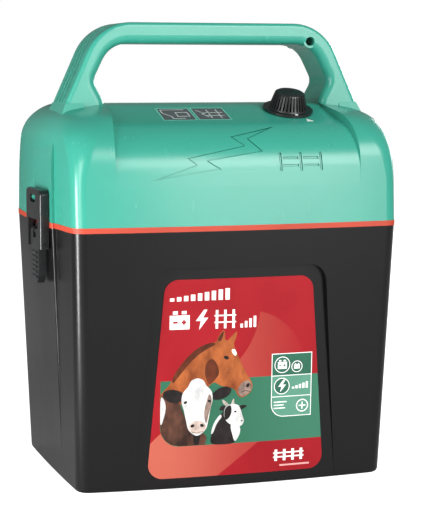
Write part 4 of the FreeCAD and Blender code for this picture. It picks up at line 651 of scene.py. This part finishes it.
def layPrint(name, shapes, tree, body, fromFront=True):
    mesh = bpy.data.meshes.new(name)
    piece = bpy.data.objects.new(name, mesh)
    bpy.context.scene.collection.objects.link(piece)
    ray = Vector((0, 1, 0)) if fromFront else Vector((0, 0, -1))
    used = []
    model = bmesh.new()
    for ink, layer, (points, faces) in shapes:
        if ink not in used:
            used.append(ink)
            mesh.materials.append(inkMaterials[ink])
        part = flatPart(points, faces, used.index(ink), fromFront)
        cutStrips(part, min(p[0] for p in points), max(p[0] for p in points))
        dropOn(tree, part, ray, layer)
        thicken(part, ray)
        addPart(model, part)
    model.to_mesh(mesh)
    model.free()
    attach(piece, body)


def bolt(x, z, width, height):
    shape = [(0.62, 1.0), (0.08, 0.45), (0.42, 0.45), (0.3, 0.0), (0.92, 0.6), (0.56, 0.6), (0.86, 1.0)]
    return [(x + px * width, z + pz * height) for px, pz in shape]


horse = {
    "head": [(-55.6, 67.5), (-50, 74), (-43.5, 84), (-36, 93.5), (-28, 99.8), (-20.5, 102.2), (-16.8, 103.4),
             (-14.8, 107.6), (-11.4, 111.0), (-10.6, 107.2), (-10.2, 104.2), (-8.0, 103.9), (-5.6, 106.6),
             (-2.0, 109.4), (-2.8, 104.6), (-4.0, 100.6), (-1.8, 95.0), (1.0, 88.5), (4.6, 81.0),
             (8.2, 75.6), (10.0, 71.2), (9.2, 67.2), (6.4, 64.6), (2.6, 62.8), (-0.4, 64.4),
             (-2.6, 68.2), (-7.0, 70.6), (-12.6, 71.8), (-17.6, 74.4), (-21.5, 72.0), (-26, 66),
             (-34, 61), (-46, 60), (-55.6, 62)],
    "mane": [(-46.5, 80.8), (-38.5, 91.6), (-29.6, 99.2), (-20.4, 102.5), (-17.6, 101.0), (-24, 97.8),
             (-32, 92.2), (-40, 83.6), (-47, 75.4)],
    "ear": [(-15.6, 104.0), (-14.2, 107.6), (-11.6, 110.2), (-12.2, 106.4), (-13.6, 103.4)],
    "jaw": [(-18.0, 75.6), (-14.6, 80.6), (-15.8, 86.8), (-19.6, 91.2), (-23.6, 88.0), (-24.4, 80.2),
            (-21.6, 73.6)],
    "muzzle": [(3.6, 74.0), (7.4, 74.6), (9.5, 71.0), (8.8, 67.4), (6.2, 65.1), (2.8, 63.5), (0.6, 64.8),
               (-0.6, 67.8), (1.0, 71.6)],
    "star": [(-5.6, 96.6), (-3.6, 97.2), (-2.0, 94.6), (-2.6, 92.6), (-4.4, 93.8)],
    "eye": (-9.4, 91.6, 1.9, 1.2, -0.4),
    "nostril": (6.6, 71.2, 1.1, 1.7, -0.5),
    "mouth": [(8.6, 66.6), (5.0, 67.6), (1.6, 66.4)],
}
cow = {
    "shoulder": [(-55.7, 67.0), (-49, 66.5), (-43, 62), (-38, 50), (-33, 42), (-26, 40), (-22.6, 36),
                 (-24, 30.7), (-41.9, 30.7), (-47.6, 31.9), (-52.0, 35.0), (-55.0, 39.6), (-55.7, 45.0)],
    "flank": [(-55.6, 65.0), (-52.8, 62.6), (-52.2, 57.0), (-53.6, 50.5), (-55.6, 47.0)],
    "throat": [(-33.0, 40.0), (-26.6, 40.0), (-28.4, 31.0), (-31.6, 31.0)],
    "leftEar": [(-40.2, 67.8), (-46, 70.6), (-52.2, 70.2), (-54.2, 67.2), (-51.4, 63.2), (-45.4, 61.2),
                (-41, 63.0)],
    "rightEar": [(-19.4, 66.0), (-14.6, 70.0), (-9, 71.2), (-5.3, 69.0), (-7.6, 64.6), (-13.6, 62.2),
                 (-19, 62.8)],
    "face": [(-30, 78), (-25.6, 76.4), (-23.4, 72.6), (-19.8, 68.6), (-18.9, 62.6), (-20.4, 55.6),
             (-21.6, 48.6), (-23.6, 41.6), (-29.6, 37.4), (-35.6, 41.6), (-37.6, 48.6), (-39.2, 55.6),
             (-41, 62), (-40, 68), (-36.4, 72.4), (-34.2, 76.4)],
    "poll": [(-30, 77.8), (-26.2, 76.2), (-25.0, 72.2), (-30, 69.6), (-35.0, 72.0), (-33.8, 76.2)],
    "cheek": [(-21.2, 66.4), (-19.4, 61.6), (-21.4, 52.6), (-23.2, 45.8), (-24.8, 52.6), (-23.4, 60.6)],
    "nose": (-29.6, 43.6, 6.2, 4.6, 0.0),
    "nostrils": [(-33.0, 44.6, 1.5, 1.1, 0.4), (-26.2, 44.6, 1.5, 1.1, -0.4)],
    "eyes": [(-38.2, 61.4, 1.3, 0.9, 0.5), (-21.2, 61.6, 1.3, 0.9, -0.5)],
    "mouth": [(-34.0, 40.4), (-29.6, 39.4), (-25.2, 40.4)],
}
goat = {
    "body": [(-9.4, 54.4), (-13.6, 50.6), (-17.4, 45.0), (-19.2, 38.0), (-18.4, 30.9), (-2.9, 30.9),
             (-3.6, 38.0), (-5.0, 44.0), (-6.6, 50.0)],
    "back": [(-13.4, 51.2), (-17.6, 45.4), (-19.5, 38.6), (-18.0, 39.0), (-15.6, 45.0), (-12.2, 49.6)],
    "ears": [[(-9.6, 57.4), (-12.2, 57.6), (-13.8, 55.0), (-10.6, 54.2)],
             [(0.6, 56.6), (3.6, 57.4), (6.2, 56.6), (3.2, 54.6), (0.8, 54.6)]],
    "horns": [[(-8.4, 57.0), (-10.8, 59.0), (-11.8, 61.9), (-9.0, 60.4), (-6.6, 57.8)],
              [(-5.2, 57.8), (-4.8, 60.2), (-3.4, 62.3), (-3.0, 59.6), (-2.8, 57.6)]],
    "face": [(-9.4, 56.4), (-5.4, 58.4), (-0.4, 57.6), (1.8, 54.0), (3.2, 49.6), (4.2, 46.0), (2.6, 43.0),
             (-0.8, 42.2), (-5.0, 43.8), (-8.6, 46.6), (-10.4, 51.0)],
    "patch": [(-9.2, 56.0), (-5.8, 57.6), (-5.0, 53.4), (-6.4, 49.4), (-9.2, 47.6), (-10.2, 51.4)],
    "beard": [(-5.2, 43.8), (0.6, 42.8), (1.6, 38.2), (-0.6, 33.4), (-2.4, 32.2), (-4.0, 36.6)],
    "eye": (-2.2, 53.0, 0.9, 0.6, 0.0),
    "nostril": (2.6, 46.2, 0.7, 0.5, 0.6),
}

front = surfaceOf("front_label")


def layHorse():
    h = horse
    shapes = [
        ("chestnut", 1, filled(curved(h["head"]))),
        ("chestnutDark", 2, filled(curved(h["mane"]))),
        ("chestnutDark", 2, filled(curved(h["ear"]))),
        ("chestnutDark", 2, filled(curved(h["jaw"]))),
        ("muzzleGrey", 2, filled(curved(h["muzzle"]))),
        ("white", 2, filled(curved(h["star"]))),
        ("hideBlack", 3, filled(ellipse(*h["eye"]))),
        ("hideBlack", 3, filled(ellipse(*h["nostril"]))),
        ("hideBlack", 3, stroked(h["mouth"], 0.4)),
    ]
    layPrint("label_horse", shapes, front, "battery_case")


def layCow():
    c = cow
    shapes = [
        ("hideBrown", 4, filled(c["shoulder"])),
        ("hideWhite", 5, filled(curved(c["flank"]))),
        ("hideBlack", 5, filled(c["throat"])),
        ("hideBlack", 5, filled(curved(c["leftEar"]))),
        ("hideBlack", 5, filled(curved(c["rightEar"]))),
        ("hideWhite", 6, filled(curved(c["face"]))),
        ("muzzleGrey", 7, filled(curved(c["cheek"]))),
        ("nosePink", 7, filled(ellipse(*c["nose"]))),
        ("hideWhite", 7, filled(curved(c["poll"]))),
        ("muzzleGrey", 8, stroked(c["mouth"], 0.5)),
    ]
    shapes += [("hideBlack", 8, filled(ellipse(*spot))) for spot in c["nostrils"] + c["eyes"]]
    layPrint("label_cow", shapes, front, "battery_case")


def layGoat():
    g = goat
    shapes = [("hideBlack", 1, filled(curved(g["body"])))]
    shapes += [("hornGrey", 2, filled(curved(horn))) for horn in g["horns"]]
    shapes += [("hideBlack", 3, filled(curved(ear))) for ear in g["ears"]]
    shapes += [
        ("hideWhite", 2, filled(curved(g["back"]))),
        ("hideWhite", 4, filled(curved(g["face"]))),
        ("hideWhite", 2, filled(curved(g["beard"]))),
        ("hideBlack", 5, filled(curved(g["patch"]))),
        ("hideBlack", 5, filled(ellipse(*g["eye"]))),
        ("hideBlack", 5, filled(ellipse(*g["nostril"]))),
    ]
    layPrint("label_goat", shapes, front, "battery_case")


infoPanel = {
    "left": 24.3, "right": 54.1, "top": 92.2, "foot": 47.4, "corner": 9.0,
    "rules": (76.6, 61.6), "line": 0.55,
    "rings": ((32.0, 84.3, 5.6), (43.0, 82.6, 3.9), (31.9, 69.1, 5.6)), "ringGap": 0.3,
    "batteries": ((28.6, 81.4, 35.4, 86.4), (29.4, 86.8, 31.2, 87.8), (32.8, 86.8, 34.6, 87.8),
                  (40.8, 81.0, 45.2, 84.0), (41.4, 84.2, 42.4, 84.8), (43.6, 84.2, 44.6, 84.8)),
    "poles": ((29.6, 83.6, 31.4, 84.2), (32.6, 83.6, 34.4, 84.2), (33.2, 83.0, 33.8, 84.8),
              (41.4, 82.3, 42.5, 82.7), (43.5, 82.3, 44.6, 82.7)),
    "spark": (28.6, 64.8, 7.0, 8.8),
    "scale": {"bars": 5, "left": 39.6, "step": 2.6, "width": 1.7, "foot": 66.8, "top": 68.2, "rise": 0.8},
    "lines": {"left": 26.2, "foot": 57.4, "top": 58.2, "step": 2.2, "lengths": (9.6, 7.4, 8.6)},
    "cross": (47.6, 54.4), "crossArm": 2.6, "crossRing": 4.2, "crossLine": 0.8,
}


# bars that grow to the right, as on a level scale
def scaleBars(s):
    bars = []
    for i in range(s["bars"]):
        left = s["left"] + i * s["step"]
        bars.append(box(left, s["foot"], left + s["width"], s["top"] + i * s["rise"]))
    return bars


def roundedFoot(p, top):
    turn = [(p["left"] + p["corner"] * (1 - math.cos(a)), p["foot"] + p["corner"] * (1 - math.sin(a)))
            for a in (math.pi / 2 * i / 8 for i in range(9))]
    return [(p["right"], p["foot"]), (p["right"], top), (p["left"], top)] + turn


def layInfo():
    p = infoPanel
    upper = p["rules"][0]
    ring = p["line"]
    shapes = [
        ("panelLight", 1, filled(roundedFoot(p, upper))),
        ("panelDark", 1, filled(box(p["left"], upper, p["right"], p["top"]))),
        ("white", 2, stroked(roundedFoot(p, p["top"]), ring, closed=True)),
    ]
    shapes += [("white", 2, stroked([(p["left"], z), (p["right"], z)], ring)) for z in p["rules"]]
    for x, z, size in p["rings"]:
        shapes.append(("panelDark", 2, filled(ellipse(x, z, size - p["ringGap"]))))
        shapes.append(("white", 3, stroked(ellipse(x, z, size), ring, closed=True)))
    shapes += [("white", 3, filled(box(*s))) for s in p["batteries"]]
    shapes.append(("white", 3, filled(bolt(*p["spark"]))))
    shapes += [("panelDark", 4, filled(box(*s))) for s in p["poles"]]
    shapes += [("white", 2, filled(s)) for s in scaleBars(p["scale"])]
    lines = p["lines"]
    for i, length in enumerate(lines["lengths"]):
        drop = i * lines["step"]
        line = box(lines["left"], lines["foot"] - drop, lines["left"] + length, lines["top"] - drop)
        shapes.append(("white", 2, filled(line)))
    x, z = p["cross"]
    arm, thick = p["crossArm"], p["crossLine"]
    shapes.append(("white", 2, stroked(ellipse(x, z, p["crossRing"]), thick, closed=True)))
    shapes.append(("white", 2, stroked([(x, z - arm), (x, z + arm)], thick)))
    shapes.append(("white", 2, stroked([(x - arm, z), (x + arm, z)], thick)))
    layPrint("label_info", shapes, front, "battery_case")


def fence(x, z, width, height, bar, posts=3):
    parts = []
    for i in range(posts):
        post = x + width * i / (posts - 1)
        parts.append(box(post - bar, z, post + bar, z + height))
    for share in (0.34, 0.7):
        wire = z + height * share
        parts.append(box(x - bar * 2, wire - bar / 2, x + width + bar * 2, wire + bar / 2))
    return parts


titleSigns = {
    "topScale": {"bars": 9, "left": -50.0, "step": 4.9, "width": 3.1,
                 "foot": 132.2, "top": 134.4, "rise": 0.72},
    "battery": ((-50.0, 112.6, -36.0, 122.4), (-47.8, 123.2, -44.4, 125.4), (-41.6, 123.2, -38.2, 125.4)),
    "poles": ((-47.6, 116.8, -44.4, 118.2), (-41.6, 116.8, -38.4, 118.2), (-40.7, 115.9, -39.3, 119.1)),
    "spark": (-32.4, 111.8, 10.4, 14.0),
    "fence": (-16.6, 112.2, 12.0, 13.0, 0.9),
    "lowScale": {"bars": 4, "left": 0.4, "step": 3.2, "width": 1.9,
                 "foot": 112.2, "top": 115.0, "rise": 1.7},
}


def layTitle():
    t = titleSigns
    shapes = [("white", 1, filled(s)) for s in scaleBars(t["topScale"])]
    shapes += [("white", 1, filled(box(*s))) for s in t["battery"]]
    shapes += [("panelRed", 2, filled(box(*s))) for s in t["poles"]]
    shapes.append(("white", 1, filled(bolt(*t["spark"]))))
    shapes += [("white", 1, filled(s)) for s in fence(*t["fence"])]
    shapes += [("white", 1, filled(s)) for s in scaleBars(t["lowScale"])]
    layPrint("label_signs", shapes, front, "battery_case")


badge = {"fence": (28.6, 15.4, 19.0, 8.2, 1.0), "posts": 4, "bar": (31.4, 11.6, 54.0, 12.8)}


def layBadge():
    shapes = [("white", 1, filled(s)) for s in fence(*badge["fence"], posts=badge["posts"])]
    shapes.append(("palePink", 1, filled(box(*badge["bar"]))))
    layPrint("label_badge", shapes, front, "battery_case")


layHorse()
layCow()
layGoat()
layInfo()
layTitle()
layBadge()
print("label printed")


windowSigns = {
    "width": 22.4, "rim": 0.5, "inset": 2.0, "line": 0.7,
    "battery": [[(14, 1), (5, 1), (5, 5), (0, 12), (0, 18.6), (17, 18.6)],
                [(9.5, 5), (9.5, 13), (18, 13), (18, 5), (9.5, 5)]],
    "fence": [[(8, 1), (8, 18)], [(15, 1), (15, 18)], [(5, 6), (18.5, 6)], [(5, 12), (18.5, 12)],
              [(0, 17), (5, 10), (2.6, 9.4), (6.4, 3)]],
}


def layWindows():
    s = windowSigns
    tree = surfaceOf("indicator_windows", "top_housing")
    low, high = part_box("indicator_windows")
    low, high = low / mm, high / mm
    rim, line = s["rim"], s["line"]
    shapes, edges = [], []
    for side, left in (("battery", low.x), ("fence", high.x - s["width"])):
        outline = box(left - rim, low.y - rim, left + s["width"] + rim, high.y + rim)
        edges.append(("windowEdge", 1, stroked(outline, line, closed=True)))
        x, y = left + s["inset"], low.y + s["inset"]
        for points in s[side]:
            moved = [(x + px, y + py) for px, py in points]
            shapes.append(("windowLine", 1, stroked(moved, line)))
    layPrint("window_signs", shapes, tree, "top_housing", fromFront=False)
    layPrint("window_edges", edges, tree, "top_housing", fromFront=False)


layWindows()
print("window signs laid")


studio = {
    "floor": rgb(196, 196, 196),
    "floorShade": rgb(184, 184, 184),
    "floorSize": 9.0,
    "floorDrop": 0.0002,
    "floorGlow": 0.95,
    "worldSeen": 1.0,
    "worldLight": 0.20,
    "lamps": {
        "key": {"place": (0.68, -1.62, 1.10), "aim": (0.0, -0.08, 0.22), "size": (1.4, 0.75), "power": 33.0},
        "lowFill": {"place": (0.72, -1.88, 0.42), "aim": (0.0, -0.08, 0.20),
                    "size": (1.1, 0.5), "power": 13.0},
        "leftFill": {"place": (-1.60, -1.30, 0.60), "aim": (0.0, -0.05, 0.18),
                     "size": (0.7, 1.0), "power": 17.0},
        "rearFill": {"place": (1.50, 1.30, 0.55), "aim": (0.0, 0.10, 0.18),
                     "size": (0.8, 0.6), "power": 14.0},
        "cornerStrip": {"place": (-0.50, -0.17, 0.125), "aim": (-0.11, -0.08, 0.125), "size": (0.08, 0.24),
                        "power": 2.6},
    },
}


def makeFloor():
    mesh = bpy.data.meshes.new("floor")
    model = bmesh.new()
    bmesh.ops.create_grid(model, x_segments=12, y_segments=12, size=studio["floorSize"])
    model.to_mesh(mesh)
    model.free()
    floor = bpy.data.objects.new("floor", mesh)
    floor.location.z = -studio["floorDrop"]
    bpy.context.scene.collection.objects.link(floor)
    material, w, shader = shade("floorPaint")
    tone = w.spread(w.noise(w.place(), 3.0, 2.0), 0.3, 0.7, 0.0, 0.04)
    w.feed(shader.inputs["Base Color"], w.mix(tone, studio["floor"], studio["floorShade"]))
    shader.inputs["Roughness"].default_value = 0.7
    shader.inputs["Emission Color"].default_value = (1.0, 1.0, 1.0, 1.0)
    seen = w.node("ShaderNodeLightPath").outputs["Is Camera Ray"]
    w.feed(shader.inputs["Emission Strength"], w.math("MULTIPLY", seen, studio["floorGlow"]))
    mesh.materials.append(material)


def makeLamps():
    for name, lamp in studio["lamps"].items():
        data = bpy.data.lights.new(name, "AREA")
        data.shape = "RECTANGLE"
        data.size, data.size_y = lamp["size"]
        data.energy = lamp["power"]
        light = bpy.data.objects.new(name, data)
        light.location = lamp["place"]
        light.rotation_mode = "QUATERNION"
        light.rotation_quaternion = (Vector(lamp["aim"]) - Vector(lamp["place"])).to_track_quat("-Z", "Y")
        light.visible_camera = False
        bpy.context.scene.collection.objects.link(light)


def makeWorld():
    world = bpy.data.worlds.new("studio")
    world.use_nodes = True
    bpy.context.scene.world = world
    w = Wiring(world.node_tree)
    back = next(n for n in world.node_tree.nodes if n.type == "BACKGROUND")
    back.inputs["Color"].default_value = (1.0, 1.0, 1.0, 1.0)
    path = w.node("ShaderNodeLightPath")
    strength = w.spread(path.outputs["Is Camera Ray"], 0.0, 1.0, studio["worldLight"], studio["worldSeen"])
    w.feed(back.inputs["Strength"], strength)


makeFloor()
makeLamps()
makeWorld()
bpy.context.scene.view_settings.view_transform = "Standard"
print("studio set")
